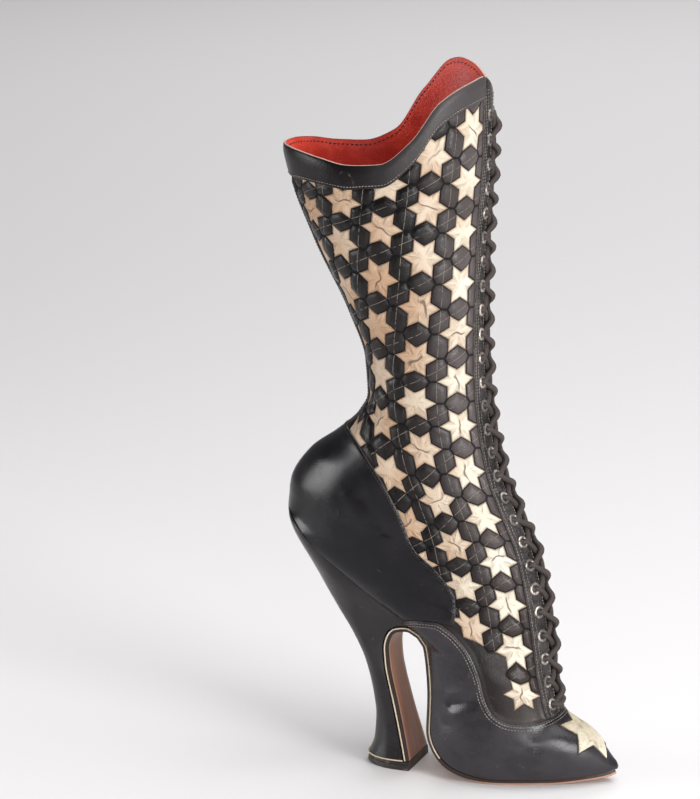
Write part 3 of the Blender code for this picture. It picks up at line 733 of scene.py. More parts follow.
def stitch_tree():
    """Stitches end to end along every edge of a line, each a slim rounded bead."""
    tree = bpy.data.node_groups.new("stitch_row", "GeometryNodeTree")
    node_inputs(
        tree, ("Geometry", "NodeSocketGeometry"), ("Pitch", "NodeSocketFloat"), ("Length", "NodeSocketFloat"),
        ("Thickness", "NodeSocketFloat"), ("Thread", "NodeSocketMaterial"),
    )
    given = tree.nodes.new("NodeGroupInput").outputs
    line = grow(tree, "GeometryNodeMeshToCurve", {"Mesh": given["Geometry"]})
    spots = grow(
        tree, "GeometryNodeResampleCurve", {"Curve": line.outputs[0], "Length": given["Pitch"]}, mode="LENGTH"
    )
    run = grow(tree, "GeometryNodeInputTangent")
    turn = grow(tree, "FunctionNodeAlignRotationToVector", {"Vector": run.outputs[0]}, axis="X")
    bead = grow(tree, "GeometryNodeMeshUVSphere", {"Segments": 6, "Rings": 4, "Radius": 0.5})
    size = grow(
        tree, "ShaderNodeCombineXYZ", {0: given["Length"], 1: given["Thickness"], 2: given["Thickness"]}
    )
    stretched = grow(tree, "GeometryNodeTransform", {"Geometry": bead.outputs[0], "Scale": size.outputs[0]})
    sewn = grow(tree, "GeometryNodeInstanceOnPoints", {
        "Points": spots.outputs[0], "Instance": stretched.outputs[0], "Rotation": turn.outputs[0],
    })
    return end_tree(tree, sewn, given["Thread"])


def eyelet_tree():
    """A rolled metal ring on every point, turned to the point's own direction."""
    tree = bpy.data.node_groups.new("eyelet_rings", "GeometryNodeTree")
    node_inputs(
        tree, ("Geometry", "NodeSocketGeometry"), ("Ring Radius", "NodeSocketFloat"),
        ("Roll Radius", "NodeSocketFloat"), ("Metal", "NodeSocketMaterial"),
    )
    given = tree.nodes.new("NodeGroupInput").outputs
    out = grow(tree, "GeometryNodeInputNamedAttribute", {"Name": "out"}, data_type="FLOAT_VECTOR")
    turn = grow(tree, "FunctionNodeAlignRotationToVector", {"Vector": out.outputs[0]}, axis="Z")
    circle, roll = (
        grow(tree, "GeometryNodeCurvePrimitiveCircle", {"Resolution": corners, "Radius": given[key]})
        for corners, key in ((20, "Ring Radius"), (8, "Roll Radius"))
    )
    ring = grow(
        tree, "GeometryNodeCurveToMesh", {"Curve": circle.outputs[0], "Profile Curve": roll.outputs[0]}
    )
    points = grow(tree, "GeometryNodeMeshToPoints", {0: given["Geometry"]})
    set_in = grow(tree, "GeometryNodeInstanceOnPoints", {
        "Points": points.outputs[0], "Instance": ring.outputs[0], "Rotation": turn.outputs[0],
    })
    return end_tree(tree, set_in, given["Metal"])


def run_tree(name, mesh, tree, values):
    """The plain mesh that a tree makes from a mesh."""
    carrier = bpy.data.objects.new(name, mesh)
    bpy.context.scene.collection.objects.link(carrier)
    changer = carrier.modifiers.new("make", "NODES")
    changer.node_group = tree
    for item in tree.interface.items_tree:
        if item.in_out == "INPUT" and item.name in values:
            changer[item.identifier] = values[item.name]
    depsgraph = bpy.context.evaluated_depsgraph_get()
    made = bpy.data.meshes.new_from_object(carrier.evaluated_get(depsgraph))
    carrier.modifiers.clear()
    bpy.data.objects.remove(carrier)
    return made


def line_mesh(runs):
    """Edges along runs of points."""
    points = np.concatenate(runs)
    edges = []
    start = 0
    for run in runs:
        edges += [(start + k, start + k + 1) for k in range(len(run) - 1)]
        start += len(run)
    mesh = bpy.data.meshes.new("line")
    mesh.from_pydata((points * MM).tolist(), edges, [])
    return mesh


STITCH = stitch_tree()
EYELET = eyelet_tree()


def sew(name, runs, thread, slot, thickness, pitch=1.75, length=1.5):
    """A piece of stitches along runs of points."""
    values = {"Pitch": pitch * MM, "Length": length * MM, "Thickness": thickness * MM, "Thread": thread}
    add_piece(name, run_tree(name, line_mesh(runs), STITCH, values), None, slot)


# Shader groups

def shader_group(name, inputs, outputs):
    """An empty group: its tree, what it is given and what it puts out."""
    tree = bpy.data.node_groups.new(name, "ShaderNodeTree")
    for key, kind, value in inputs:
        socket = tree.interface.new_socket(name=key, in_out="INPUT", socket_type=kind)
        if value is not None:
            socket.default_value = value
    for key in outputs:
        tree.interface.new_socket(name=key, in_out="OUTPUT", socket_type="NodeSocketFloat")
    return tree, tree.nodes.new("NodeGroupInput").outputs, tree.nodes.new("NodeGroupOutput").inputs


def spaced(values):
    """Values by the names of sockets, which have spaces for underscores."""
    return {key.replace("_", " "): value for key, value in values.items()}


def plug(tree, sockets, **values):
    """Links outputs of nodes to sockets by name."""
    for key, value in spaced(values).items():
        tree.links.new(value, sockets[key])


def math_node(tree, operation, *values, clamp=False):
    made = grow(tree, "ShaderNodeMath", dict(enumerate(values)), operation=operation, use_clamp=clamp)
    return made.outputs[0]


def times(tree, a, b):
    return math_node(tree, "MULTIPLY", a, b)


def plus(tree, a, b, clamp=False):
    return math_node(tree, "ADD", a, b, clamp=clamp)


def less(tree, a, b):
    return math_node(tree, "SUBTRACT", a, b)


def unsigned(tree, a):
    return math_node(tree, "ABSOLUTE", a)


def furthest(tree, operation, first, *others):
    """The largest or the smallest of some numbers."""
    for other in others:
        first = math_node(tree, operation, first, other)
    return first


def spread(tree, value, low, high, start, end, how="LINEAR"):
    """Turns a value that runs from low to high into one that runs from start to end."""
    links = {0: value, 1: low, 2: high, 3: start, 4: end}
    return grow(tree, "ShaderNodeMapRange", links, interpolation_type=how).outputs[0]


def ramp(tree, value, low, high):
    """Zero at low, one at high, whichever is the larger, and smooth between."""
    return spread(tree, value, low, high, 0.0, 1.0, "SMOOTHSTEP")


def mix(tree, factor, a, b):
    """A number between two others."""
    return grow(tree, "ShaderNodeMix", {0: factor, 2: a, 3: b}, data_type="FLOAT").outputs[0]


def rgb(r, g, b):
    return (r, g, b, 1.0)


def blend(tree, factor, *colours):
    """A colour between two others, each of them a tuple or a node's."""
    a, b = (rgb(*c) if isinstance(c, tuple) else c for c in colours)
    return grow(tree, "ShaderNodeMix", {0: factor, 6: a, 7: b}, data_type="RGBA").outputs[2]


def tint(tree, colour, mask, share, other):
    """A colour with another laid over it, by a share of a mask."""
    return blend(tree, times(tree, mask, share), colour, other)


def noise(tree, place, scale, detail, **more):
    links = {"Vector": place, "Scale": scale, "Detail": detail, **more}
    return grow(tree, "ShaderNodeTexNoise", links).outputs[0]


def object_place(tree):
    return grow(tree, "ShaderNodeTexCoord").outputs["Object"]


def attribute(tree, name):
    return grow(tree, "ShaderNodeAttribute", attribute_name=name).outputs["Fac"]


def xyz(tree, vector):
    return grow(tree, "ShaderNodeSeparateXYZ", {0: vector}).outputs


def leather_group():
    """Fine leather grain with broad creases, and blotches of tone, for any leather."""
    tree, given, out = shader_group(
        "leather_grain", [("Grain Size", "NodeSocketFloat", 1.0), ("Crease Size", "NodeSocketFloat", 1.0)],
        ("Height", "Blotch"),
    )
    place = object_place(tree)
    fine = math_node(tree, "DIVIDE", 1400.0, given["Grain Size"])
    broad = math_node(tree, "DIVIDE", 90.0, given["Crease Size"])
    cells = grow(tree, "ShaderNodeTexVoronoi", {"Vector": place, "Scale": fine}, feature="F1")
    pores = noise(tree, place, fine, 3.0)
    folds = noise(tree, place, broad, 4.0, Roughness=0.62, Distortion=0.8)
    lines = ramp(tree, unsigned(tree, less(tree, folds, 0.5)), 0.0, 0.06)
    grain = plus(tree, times(tree, cells.outputs["Distance"], 0.5), times(tree, pores, 0.5))
    blotch = noise(tree, place, 38.0, 5.0, Roughness=0.6)
    plug(tree, out, Height=plus(tree, grain, times(tree, lines, 0.25)), Blotch=ramp(tree, blotch, 0.36, 0.68))
    return tree


def scuff_group():
    """Scratches and rubbed spots, more of them where Amount is larger."""
    tree, given, out = shader_group("scuffs", [("Amount", "NodeSocketFloat", 0.5)], ("Rubbed", "Scratch"))
    place = object_place(tree)
    patches = noise(tree, place, 130.0, 6.0, Roughness=0.72)
    level = less(tree, 0.78, times(tree, given["Amount"], 0.3))
    slanted = grow(tree, "ShaderNodeMapping", {
        "Vector": place, "Rotation": (0.5, 0.9, 0.3), "Scale": (90.0, 900.0, 120.0),
    })
    scratch = ramp(tree, noise(tree, slanted.outputs[0], 1.0, 2.0), 0.70, 0.76)
    plug(
        tree, out, Rubbed=ramp(tree, less(tree, patches, level), -0.03, 0.09),
        Scratch=times(tree, scratch, given["Amount"]),
    )
    return tree


def star_group():
    """Stars, seams and stitch lines of the panel, from its own flat coordinates."""
    tree, given, out = shader_group(
        "star_panel", [("Panel", "NodeSocketVector", None)],
        ("Star", "Seam", "Stitch", "Rim", "Crease", "Folds", "Chance"),
    )
    half = (COLUMN_STEP, 0.5, 1.0)
    low = (-COLUMN_STEP, -0.5, -1.0)

    def vector(operation, *values):
        made = grow(tree, "ShaderNodeVectorMath", dict(enumerate(values)), operation=operation)
        return made.outputs["Value" if operation in ("LENGTH", "DOT_PRODUCT") else "Vector"]

    one = vector("WRAP", given["Panel"], half, low)
    other = vector("WRAP", vector("ADD", given["Panel"], (COLUMN_STEP, 0.5, 0.0)), half, low)
    nearer = math_node(tree, "LESS_THAN", vector("LENGTH", other), vector("LENGTH", one))
    local = grow(tree, "ShaderNodeMix", {0: nearer, 4: one, 5: other}, data_type="VECTOR").outputs[1]
    cell = vector("SUBTRACT", given["Panel"], local)
    cell = vector("SNAP", vector("ADD", cell, (0.05, 0.05, 0.05)), (0.1, 0.1, 0.1))
    chance = grow(tree, "ShaderNodeTexWhiteNoise", {"Vector": cell}, noise_dimensions="3D").outputs["Value"]
    directions = ((1.0, 0.0, 0.0), (0.5, COLUMN_STEP, 0.0), (-0.5, COLUMN_STEP, 0.0))
    a = [vector("DOT_PRODUCT", local, d) for d in directions]
    back = [times(tree, v, -1.0) for v in a]
    up = furthest(tree, "MAXIMUM", a[1], back[0], back[2])
    down = furthest(tree, "MAXIMUM", a[0], a[2], back[1])
    from_star = times(tree, less(tree, furthest(tree, "MINIMUM", up, down), STAR_EDGE), STAR_PITCH)
    rays = ((0.0, 1.0, 0.0), (COLUMN_STEP, 0.5, 0.0), (-COLUMN_STEP, 0.5, 0.0))
    rays = [unsigned(tree, vector("DOT_PRODUCT", local, d)) for d in rays]
    seam = times(tree, furthest(tree, "MINIMUM", *rays), STAR_PITCH)
    seam = furthest(tree, "MINIMUM", seam, furthest(tree, "MAXIMUM", from_star, 0.0))
    gaps = [unsigned(tree, less(tree, unsigned(tree, a[k]), STAR_TIP)) for k in (0, 2)]
    # One crease through the middle of a star, turned by chance and bent, for the panel's painted shade and
    # groove
    turned = grow(
        tree, "ShaderNodeVectorRotate", {"Vector": local, "Angle": times(tree, chance, 6.283)},
        rotation_type="Z_AXIS",
    )
    x, y, _ = xyz(tree, turned.outputs[0])
    bend = times(tree, less(tree, noise(tree, given["Panel"], 2.2, 1.5), 0.5), 0.55)
    crease = less(tree, 1.0, ramp(tree, unsigned(tree, plus(tree, y, bend)), 0.007, 0.032))
    crease = times(tree, crease, ramp(tree, x, -0.20, -0.08))
    crease = times(tree, crease, ramp(tree, x, 0.27, 0.12))
    # Folds run out from the middle of a star, and no two stars have the same ones
    middle_far = vector("LENGTH", local)
    own = grow(tree, "ShaderNodeCombineXYZ", {2: plus(tree, times(tree, chance, 9.0), middle_far)}).outputs[0]
    around = vector("ADD", vector("NORMALIZE", local), own)
    folds = ramp(tree, noise(tree, around, 1.7, 1.8), 0.56, 0.34)
    plug(
        tree, out, Star=less(tree, 1.0, ramp(tree, from_star, -0.25, 0.05)), Seam=seam,
        Stitch=times(tree, furthest(tree, "MINIMUM", *gaps), STAR_PITCH), Rim=unsigned(tree, from_star),
        Crease=crease, Folds=times(tree, folds, ramp(tree, middle_far, 0.03, 0.16)), Chance=chance,
    )
    return tree


LEATHER = leather_group()
SCUFFS = scuff_group()
STARS = star_group()


# Finishes

def finish(name, roughness=0.4, **values):
    """A material, its tree, and its shader's inputs with plain values set on them."""
    made = bpy.data.materials.new(name)
    made.use_nodes = True
    sockets = made.node_tree.nodes["Principled BSDF"].inputs
    for key, value in spaced(dict(values, Roughness=roughness)).items():
        sockets[key].default_value = value
    return made, made.node_tree, sockets


def group_node(tree, group, **values):
    """What a shader group puts out, with its inputs linked or set."""
    return grow(tree, "ShaderNodeGroup", spaced(values), node_tree=group).outputs


def bump(tree, height, distance):
    """The normal of a surface that is rough by this height."""
    links = {"Height": height, "Distance": distance, "Strength": 1.0}
    return grow(tree, "ShaderNodeBump", links).outputs[0]


def leather_finish(name, dark, light, roughness, grain=1.0, depth=0.00012, scuff=0.4,
                   worn=(0.16, 0.12, 0.10), edge=None, coat=0.0, shine=0.33, crease=1.0):
    """Leather with grain, tone, rubbed spots and, where edge is given, a cut edge of that colour; on the
    heel's seam that colour is painted shade, and round the toe's star partly painted shade.
    """
    made, tree, sockets = finish(name, Coat_Roughness=0.22, Coat_Weight=coat, Specular_IOR_Level=shine)
    hide = group_node(tree, LEATHER, Grain_Size=grain, Crease_Size=crease)
    rub = group_node(tree, SCUFFS, Amount=scuff)
    colour = blend(tree, hide["Blotch"], dark, light)
    colour = tint(tree, colour, rub["Rubbed"], 0.55, worn)
    colour = tint(tree, colour, rub["Scratch"], 0.5, worn)
    if edge:
        near = less(tree, 1.0, ramp(tree, attribute(tree, "edge"), 0.0, 0.55))
        colour = tint(tree, colour, near, 0.8, edge)
    rough = plus(tree, spread(tree, hide["Blotch"], 0.0, 1.0, *roughness), times(tree, rub["Rubbed"], 0.18))
    height = less(tree, hide["Height"], times(tree, rub["Scratch"], 0.4))
    plug(tree, sockets, Base_Color=colour, Roughness=rough, Normal=bump(tree, height, depth))
    return made


def panel_finish():
    """The star panel: cream stars let into padded black leather."""
    made, tree, sockets = finish("star_panel", Coat_Roughness=0.25, Specular_IOR_Level=0.2)
    place = grow(tree, "ShaderNodeUVMap", uv_map="panel").outputs[0]
    panel = group_node(tree, STARS, Panel=place)
    there = attribute(tree, "star_on")
    padded = attribute(tree, "padded")
    star = times(tree, panel["Star"], math_node(tree, "GREATER_THAN", there, 0.5))
    hide = group_node(tree, LEATHER, Grain_Size=1.3, Crease_Size=0.55)
    rub = group_node(tree, SCUFFS, Amount=0.55)
    across, down, _ = xyz(tree, place)
    # Pads are browner and paler in front, and paler there towards the top: painted sheen of the light that
    # falls on the front
    painted_front_sheen = blend(tree, ramp(tree, down, 11.0, 7.0), (0.030, 0.022, 0.020), (0.080, 0.067, 0.065))
    black = blend(tree, ramp(tree, across, 1.1, -0.2), (0.004, 0.003, 0.003), painted_front_sheen)
    black = tint(tree, black, hide["Blotch"], 0.5, (0.024, 0.017, 0.016))
    black = tint(tree, black, rub["Rubbed"], 0.3, (0.075, 0.055, 0.048))
    # Stars are whiter towards the lacing and the foot, and browner towards the back and the top
    browning = times(tree, ramp(tree, across, -0.3, 1.6), 0.55)
    browning = plus(tree, browning, times(tree, ramp(tree, down, 10.5, 1.0), 0.18))
    browning = plus(tree, browning, times(tree, panel["Chance"], 0.28))
    browning = plus(tree, browning, times(tree, less(tree, hide["Blotch"], 0.4), 0.35), clamp=True)
    cream = blend(tree, browning, (0.66, 0.63, 0.53), (0.42, 0.27, 0.17))
    # Painted shade along one crease through each star, which is also pressed in as a groove below
    shaded_crease = times(tree, panel["Crease"], ramp(tree, panel["Chance"], 0.35, 0.5))
    # Each star is darker near its rim: partly brown staining, partly painted shade
    cream = tint(tree, cream, ramp(tree, panel["Rim"], 1.5, 0.0), 0.55, (0.22, 0.13, 0.08))
    cream = tint(tree, cream, rub["Rubbed"], 0.35, (0.42, 0.28, 0.18))
    # Painted shade darkens each star in its folds
    cream = tint(tree, cream, panel["Folds"], 0.36, (0.26, 0.165, 0.10))
    cream = tint(tree, cream, shaded_crease, 0.8, (0.10, 0.06, 0.04))
    # Pale thread runs straight through the pads, and the gullies between them are painted dark as shade
    spots = object_place(tree)
    thread = less(tree, 1.0, ramp(tree, panel["Stitch"], 0.10, 0.26))
    thread = times(tree, thread, ramp(tree, noise(tree, spots, 420.0, 1.0), 0.34, 0.50))
    thread = times(tree, thread, padded)
    black = tint(tree, black, thread, 0.75, (0.20, 0.17, 0.145))
    shaded_gully = times(tree, ramp(tree, panel["Seam"], 1.1, 0.0), padded)
    black = tint(tree, black, shaded_gully, 0.9, (0.004, 0.004, 0.004))
    gloss = mix(tree, shaded_gully, spread(tree, hide["Blotch"], 0.0, 1.0, 0.27, 0.52), 0.85)
    # Grooves between the pads, and stars that are puckered and folded inside their rims
    groove = times(tree, ramp(tree, panel["Seam"], 0.0, 0.8), padded)
    rim = times(tree, ramp(tree, panel["Rim"], 0.0, 0.7), there)
    rim = plus(tree, rim, times(tree, noise(tree, spots, 190.0, 2.0, Distortion=1.2), 0.9))
    rim = less(tree, rim, times(tree, panel["Folds"], 0.9))
    height = times(tree, mix(tree, star, groove, rim), 2.4)
    height = plus(tree, height, times(tree, hide["Height"], 0.5))
    height = less(tree, height, times(tree, thread, 0.6))
    height = less(tree, height, times(tree, times(tree, shaded_crease, star), 1.2))
    plug(
        tree, sockets, Base_Color=blend(tree, star, black, cream), Roughness=mix(tree, star, gloss, 0.56),
        Coat_Weight=times(tree, less(tree, 1.0, star), 0.04), Normal=bump(tree, height, 0.00026),
    )
    return made


def cord_finish(name, dark, light):
    """Braided cord, from the lengthways and crossways places of its own UV map."""
    made, tree, sockets = finish(name, 0.55, Specular_IOR_Level=0.45)
    along, turn, _ = xyz(tree, grow(tree, "ShaderNodeUVMap", uv_map="cord").outputs[0])
    waves = []
    for strands in (4.0, -4.0):
        slant = plus(tree, times(tree, along, 1100.0), times(tree, turn, strands))
        waves.append(unsigned(tree, math_node(tree, "SINE", times(tree, slant, math.pi))))
    braid = furthest(tree, "MAXIMUM", *waves)
    fuzz = times(tree, noise(tree, object_place(tree), 900.0, 2.0), 0.5)
    # Painted shade: the braid is darker between its strands and paler on their crowns, with fuzz of real tone
    shade = plus(tree, times(tree, braid, 0.6), fuzz)
    normal = bump(tree, plus(tree, braid, fuzz), 0.0003)
    plug(tree, sockets, Base_Color=blend(tree, shade, dark, light), Normal=normal)
    return made


def thread_finish(name, colour):
    """Waxed thread with soil in it."""
    made, tree, sockets = finish(name, 0.6)
    place = object_place(tree)
    soil = ramp(tree, noise(tree, place, 160.0, 4.0), 0.35, 0.65)
    dark = tuple(0.45 * c for c in colour)
    normal = bump(tree, noise(tree, place, 2600.0, 1.0), 0.0001)
    plug(tree, sockets, Base_Color=blend(tree, soil, dark, colour), Normal=normal)
    return made


def metal_finish(name, colour, worn):
    """Painted metal, rubbed through to bare metal."""
    made, tree, sockets = finish(name)
    rubbed = group_node(tree, SCUFFS, Amount=0.9)["Rubbed"]
    dirt = noise(tree, object_place(tree), 500.0, 3.0)
    plug(
        tree, sockets, Base_Color=blend(tree, rubbed, colour, worn), Metallic=rubbed,
        Roughness=spread(tree, dirt, 0.3, 0.7, 0.3, 0.55), Normal=bump(tree, dirt, 0.00006),
    )
    return made


def sole_finish():
    """Tan sole leather with fibres along it, pale near its cut edge and dark right at the edge."""
    made, tree, sockets = finish(
        "sole_leather", Coat_Roughness=0.3, Coat_Weight=0.04, Specular_IOR_Level=0.25
    )
    hide = group_node(tree, LEATHER, Grain_Size=0.8, Crease_Size=0.8)
    scratch = group_node(tree, SCUFFS, Amount=0.8)["Scratch"]
    side = attribute(tree, "edge")
    along = grow(tree, "ShaderNodeMapping", {"Vector": object_place(tree), "Scale": (40.0, 260.0, 30.0)})
    fibres = noise(tree, along.outputs[0], 1.0, 5.0, Roughness=0.6)
    tan = blend(tree, ramp(tree, fibres, 0.3, 0.7), (0.22, 0.078, 0.030), (0.35, 0.145, 0.058))
    tan = tint(tree, tan, hide["Blotch"], 0.35, (0.17, 0.066, 0.030))
    tan = tint(tree, tan, scratch, 0.6, (0.12, 0.06, 0.03))
    tan = tint(tree, tan, ramp(tree, side, 2.4, 1.2), 0.7, (0.46, 0.27, 0.20))
    plug(
        tree, sockets, Base_Color=blend(tree, ramp(tree, side, 0.3, -0.2), tan, (0.03, 0.02, 0.016)),
        Roughness=spread(tree, fibres, 0.3, 0.7, 0.34, 0.55),
        Normal=bump(tree, plus(tree, fibres, times(tree, hide["Height"], 0.4)), 0.00018),
    )
    return made


def band_finish():
    """The band's leather: paler in front as painted sheen, and raw where it goes over the rim."""
    made = leather_finish(
        "band_rim", (0.004, 0.003, 0.004), (0.011, 0.009, 0.010), (0.28, 0.46), grain=1.1,
        depth=0.0001, scuff=0.5, coat=0.02, shine=0.18,
    )
    tree = made.node_tree
    socket = tree.nodes["Principled BSDF"].inputs["Base Color"]
    colour = socket.links[0].from_socket
    # Painted sheen: the band's front is made paler, where the light falls on it
    front = ramp(tree, xyz(tree, object_place(tree))[0], -0.05, 0.015)
    colour = tint(tree, colour, front, 0.85, (0.060, 0.053, 0.054))
    raw = ramp(tree, attribute(tree, "edge"), 1.6, 0.4)
    tree.links.new(tint(tree, colour, raw, 0.85, (0.60, 0.37, 0.30)), socket)
    return made


DARK_EDGE = (0.05, 0.042, 0.04)
BLACK = leather_finish(
    "black_leather", (0.004, 0.0035, 0.005), (0.009, 0.008, 0.010), (0.19, 0.32),
    depth=0.00005, scuff=0.35, edge=DARK_EDGE, coat=0.12, shine=0.2,
)
VAMP_BLACK = leather_finish(
    "vamp_leather", (0.010, 0.0085, 0.011), (0.026, 0.022, 0.027), (0.24, 0.42),
    grain=1.1, depth=0.00008, scuff=0.45, edge=DARK_EDGE, coat=0.1,
)
FACING = leather_finish(
    "facing_leather", (0.010, 0.008, 0.008), (0.046, 0.039, 0.039), (0.34, 0.56), grain=1.8,
    depth=0.0009, scuff=0.7, worn=(0.12, 0.10, 0.10), edge=(0.09, 0.076, 0.072), coat=0.06, crease=0.4,
)
TONGUE = leather_finish("tongue_leather", (0.016, 0.013, 0.013), (0.035, 0.028, 0.026), (0.4, 0.6))
LINING = leather_finish(
    "red_lining", (0.44, 0.028, 0.018), (0.64, 0.065, 0.036), (0.42, 0.62),
    grain=1.2, depth=0.0002, scuff=0.45, worn=(0.62, 0.18, 0.11),
)
INSOLE = leather_finish(
    "insole_leather", (0.020, 0.012, 0.009), (0.040, 0.025, 0.018), (0.5, 0.7), worn=(0.07, 0.045, 0.03),
)
LIFT_BLACK = leather_finish(
    "lift_leather", (0.016, 0.013, 0.012), (0.045, 0.035, 0.03), (0.4, 0.62), scuff=0.8,
)
CREAM = leather_finish(
    "cream_edge", (0.52, 0.42, 0.30), (0.72, 0.62, 0.48), (0.45, 0.6), scuff=0.5, worn=(0.30, 0.20, 0.13),
)
# The star's edge colour is partly its cut edge and partly painted shade in the groove round the star
TOE_CREAM = leather_finish(
    "star_leather", (0.50, 0.43, 0.31), (0.78, 0.72, 0.59), (0.45, 0.62), grain=1.1, depth=0.0012,
    scuff=0.75, worn=(0.24, 0.17, 0.11), edge=(0.10, 0.065, 0.045), crease=0.75,
)
# The heel's edge colour paints a near-black line along its top: painted shade in the seam under the counter
HEEL_BLACK = leather_finish(
    "heel_leather", (0.010, 0.0085, 0.009), (0.020, 0.017, 0.018), (0.26, 0.4),
    depth=0.00005, scuff=0.3, edge=(0.001, 0.001, 0.001), coat=0.08, shine=0.3,
)
BAND_RIM = band_finish()
PALE_THREAD = thread_finish("pale_thread", (0.30, 0.26, 0.22))
DARK_THREAD = thread_finish("dark_thread", (0.03, 0.022, 0.02))
METAL = metal_finish("eyelet_metal", (0.080, 0.070, 0.066), (0.58, 0.52, 0.46))
CORD = cord_finish("lace_cord", (0.010, 0.007, 0.006), (0.048, 0.035, 0.031))
SOLE = sole_finish()
PANEL = panel_finish()


# Pieces

def creases(points, table):
    """Troughs and ridges along lines: each row is two ends seen from the side, half width and depth."""
    total = np.zeros(points.shape[:-1])
    for ax, az, bx, bz, half, depth in table:
        far = from_line(points, np.array([(ax, az), (bx, bz)]))
        total += depth * np.exp(-((far / half) ** 2))
    return total


# Soft folds of the ankle, the vamp and the counter: x, z, x, z, half width, depth
ANKLE_FOLDS = (
    (-46.0, 226.0, -8.0, 214.0, 3.0, -0.7),
    (-44.0, 236.0, -12.0, 231.0, 3.5, 0.5),
    (-43.0, 212.0, 2.0, 196.0, 3.2, -0.6),
    (20.0, 205.0, -10.0, 190.0, 3.4, -0.4),
    (26.0, 186.0, 0.0, 170.0, 3.6, -0.4),
    (-36.0, 268.0, -6.0, 258.0, 5.0, -0.4),
    (-60.0, 310.0, -20.0, 300.0, 6.0, -0.4),
)
VAMP_FOLDS = (
    (10.0, 46.0, 24.0, 51.0, 2.8, -1.1),
    (9.0, 51.0, 25.0, 57.0, 2.6, 0.5),
    (12.0, 40.0, 24.0, 43.0, 2.6, 0.5),
    (8.0, 34.0, 30.0, 31.0, 3.2, -0.5),
    (46.0, 26.0, 70.0, 17.0, 3.0, -0.3),
)
COUNTER_FOLDS = (
    (-40.0, 160.0, -14.0, 118.0, 3.4, -0.5),
    (-50.0, 160.0, -28.0, 120.0, 3.4, 0.3),
    (-30.0, 146.0, -10.0, 112.0, 2.6, -0.3),
)


def make_upper():
    """The upper's outside with its padded star panel, turned in at the collar and the slit."""
    fine = np.linspace(0, NOSE - 0.02, 4001)
    run = length_along(last_point(fine, np.full_like(fine, 1.25), 1))
    rows = np.interp(np.linspace(0, run[-1], UPPER_ROWS), run, fine)
    near = girth(rows, front_reach(rows))
    ends = girth(rows, np.full_like(rows, math.pi))
    far = near[:, None] + (ends - near)[:, None] * np.linspace(0, 1, UPPER_COLUMNS)[None, :]
    theta = reach(rows, far)
    theta[:, -1] = math.pi
    grids = []
    maps = []
    for side in (1, -1):
        u = below_collar(np.repeat(rows[:, None], UPPER_COLUMNS, axis=1), theta, side)
        base = last_point(u, theta, side)
        x, y = panel_place(u, girth(u, theta))
        relief, there, padded = panel_relief(x, y)
        clear = clear_of_overlays(u, theta, side, base)
        out = skin(u, theta, side, (relief - PANEL_SUNK + creases(base, ANKLE_FOLDS)) * clear)
        out[:2] = last_point(collar(theta[:2], side, 1.5), theta[:2], side)
        turned_in = skin(u, theta, side, -WALL)
        turned_in[:2] = out[:2]
        out = np.concatenate([turned_in[:1], out], axis=0)
        slit = np.concatenate([turned_in[:1, :1], turned_in[:, :1]], axis=0)
        grids.append(np.concatenate([slit, out], axis=1))
        maps.append([np.pad(v, ((1, 0), (1, 0)), mode="edge").ravel() for v in (x, y, there, padded)])
    x, y, there, padded = np.concatenate(maps, axis=1)
    mesh = grids_mesh("upper_panel", grids, (False, True))
    add_uv(mesh, "panel", np.stack([x, y], axis=1))
    add_value(mesh, "star_on", there)
    add_value(mesh, "padded", padded)
    add_piece("upper_panel", mesh, PANEL, "black_leather", "upper")


def make_lining():
    """The red lining, inside the wall and a little short of the sole's edge."""
    rows = np.concatenate([np.linspace(0, SHIN, 50), np.linspace(SHIN, NOSE - 1.2, 130)[1:]])
    share = np.linspace(0, 1, 60)
    start = front_reach(rows)
    end = math.pi - LINING_SHORT * step_up(rows, SEAT - 1.0, SEAT)
    theta = start[:, None] + (end - start)[:, None] * share[None, :]
    grids = []
    for side in (1, -1):
        u = below_collar(np.repeat(rows[:, None], len(share), axis=1), theta, side)
        below = rim_height(theta, side) - last_point(u, theta, side)[..., 2]
        inset = np.where(u < SHIN, RIM_INSIDE + (WALL - RIM_INSIDE) * step_up(below, 0, 5), WALL)
        grids.append(skin(u, theta, side, -inset))
    add_piece("lining", grids_mesh("lining", grids, (True, False)), LINING, "insole_leather")


def over_grid(low_u, high_u, rows, low_theta, high_theta, columns):
    """Stations and thetas of a regular grid."""
    stations = np.linspace(low_u, high_u, rows)
    return np.meshgrid(stations, np.linspace(low_theta, high_theta, columns), indexing="ij")


def rounded(inside, thick, reach_in=1.3):
    """A leather edge: part of its thickness at the cut, all of it a little way in."""
    return thick * (EDGE_LEAST + (1 - EDGE_LEAST) * np.sqrt(domed(inside / reach_in)))


def make_cut_piece(name, grids, outline, folds, used, node, edge_line, insets, thread):
    """A piece cut out by its outline from the side, with rows of stitches along part of its edge."""
    parts = []
    runs = []
    for side in (1, -1):
        for u, theta in grids:
            inside = inside_of(last_point(u, theta, side), outline)
            part = trim(u, theta, inside)
            base = last_point(part["u"], part["theta"], side)
            fold = creases(base, folds) * step_up(part["inside"], 0, 3)
            top = GAP + rounded(part["inside"], OVERLAY) + fold
            parts.append(dict(part, side=side, top=top, low=BACK_OFF))
            for inset in insets:
                row = trim(u, theta, inside - inset)
                spots = skin(row["u"], row["theta"], side, OUTER + 0.12)
                keep = from_line(last_point(row["u"], row["theta"], side), edge_line) < inset + 0.4
                runs += chains(spots, row["segments"][keep[row["segments"]].all(axis=1)])
    made = add_piece(name, cover(name, parts), used, "black_leather", node)
    sew(name + "_stitches", runs, thread, "black_leather", 0.42)
    return made


def make_vamp():
    """The vamp, with two rows of stitches along its edge."""
    make_cut_piece(
        "vamp_leather", [over_grid(11.0, NOSE, 198, 0.0, math.pi, 130)], VAMP_OUTLINE, VAMP_FOLDS,
        VAMP_BLACK, "vamp", soften(VAMP_EDGE), (1.3, 2.9), PALE_THREAD,
    )


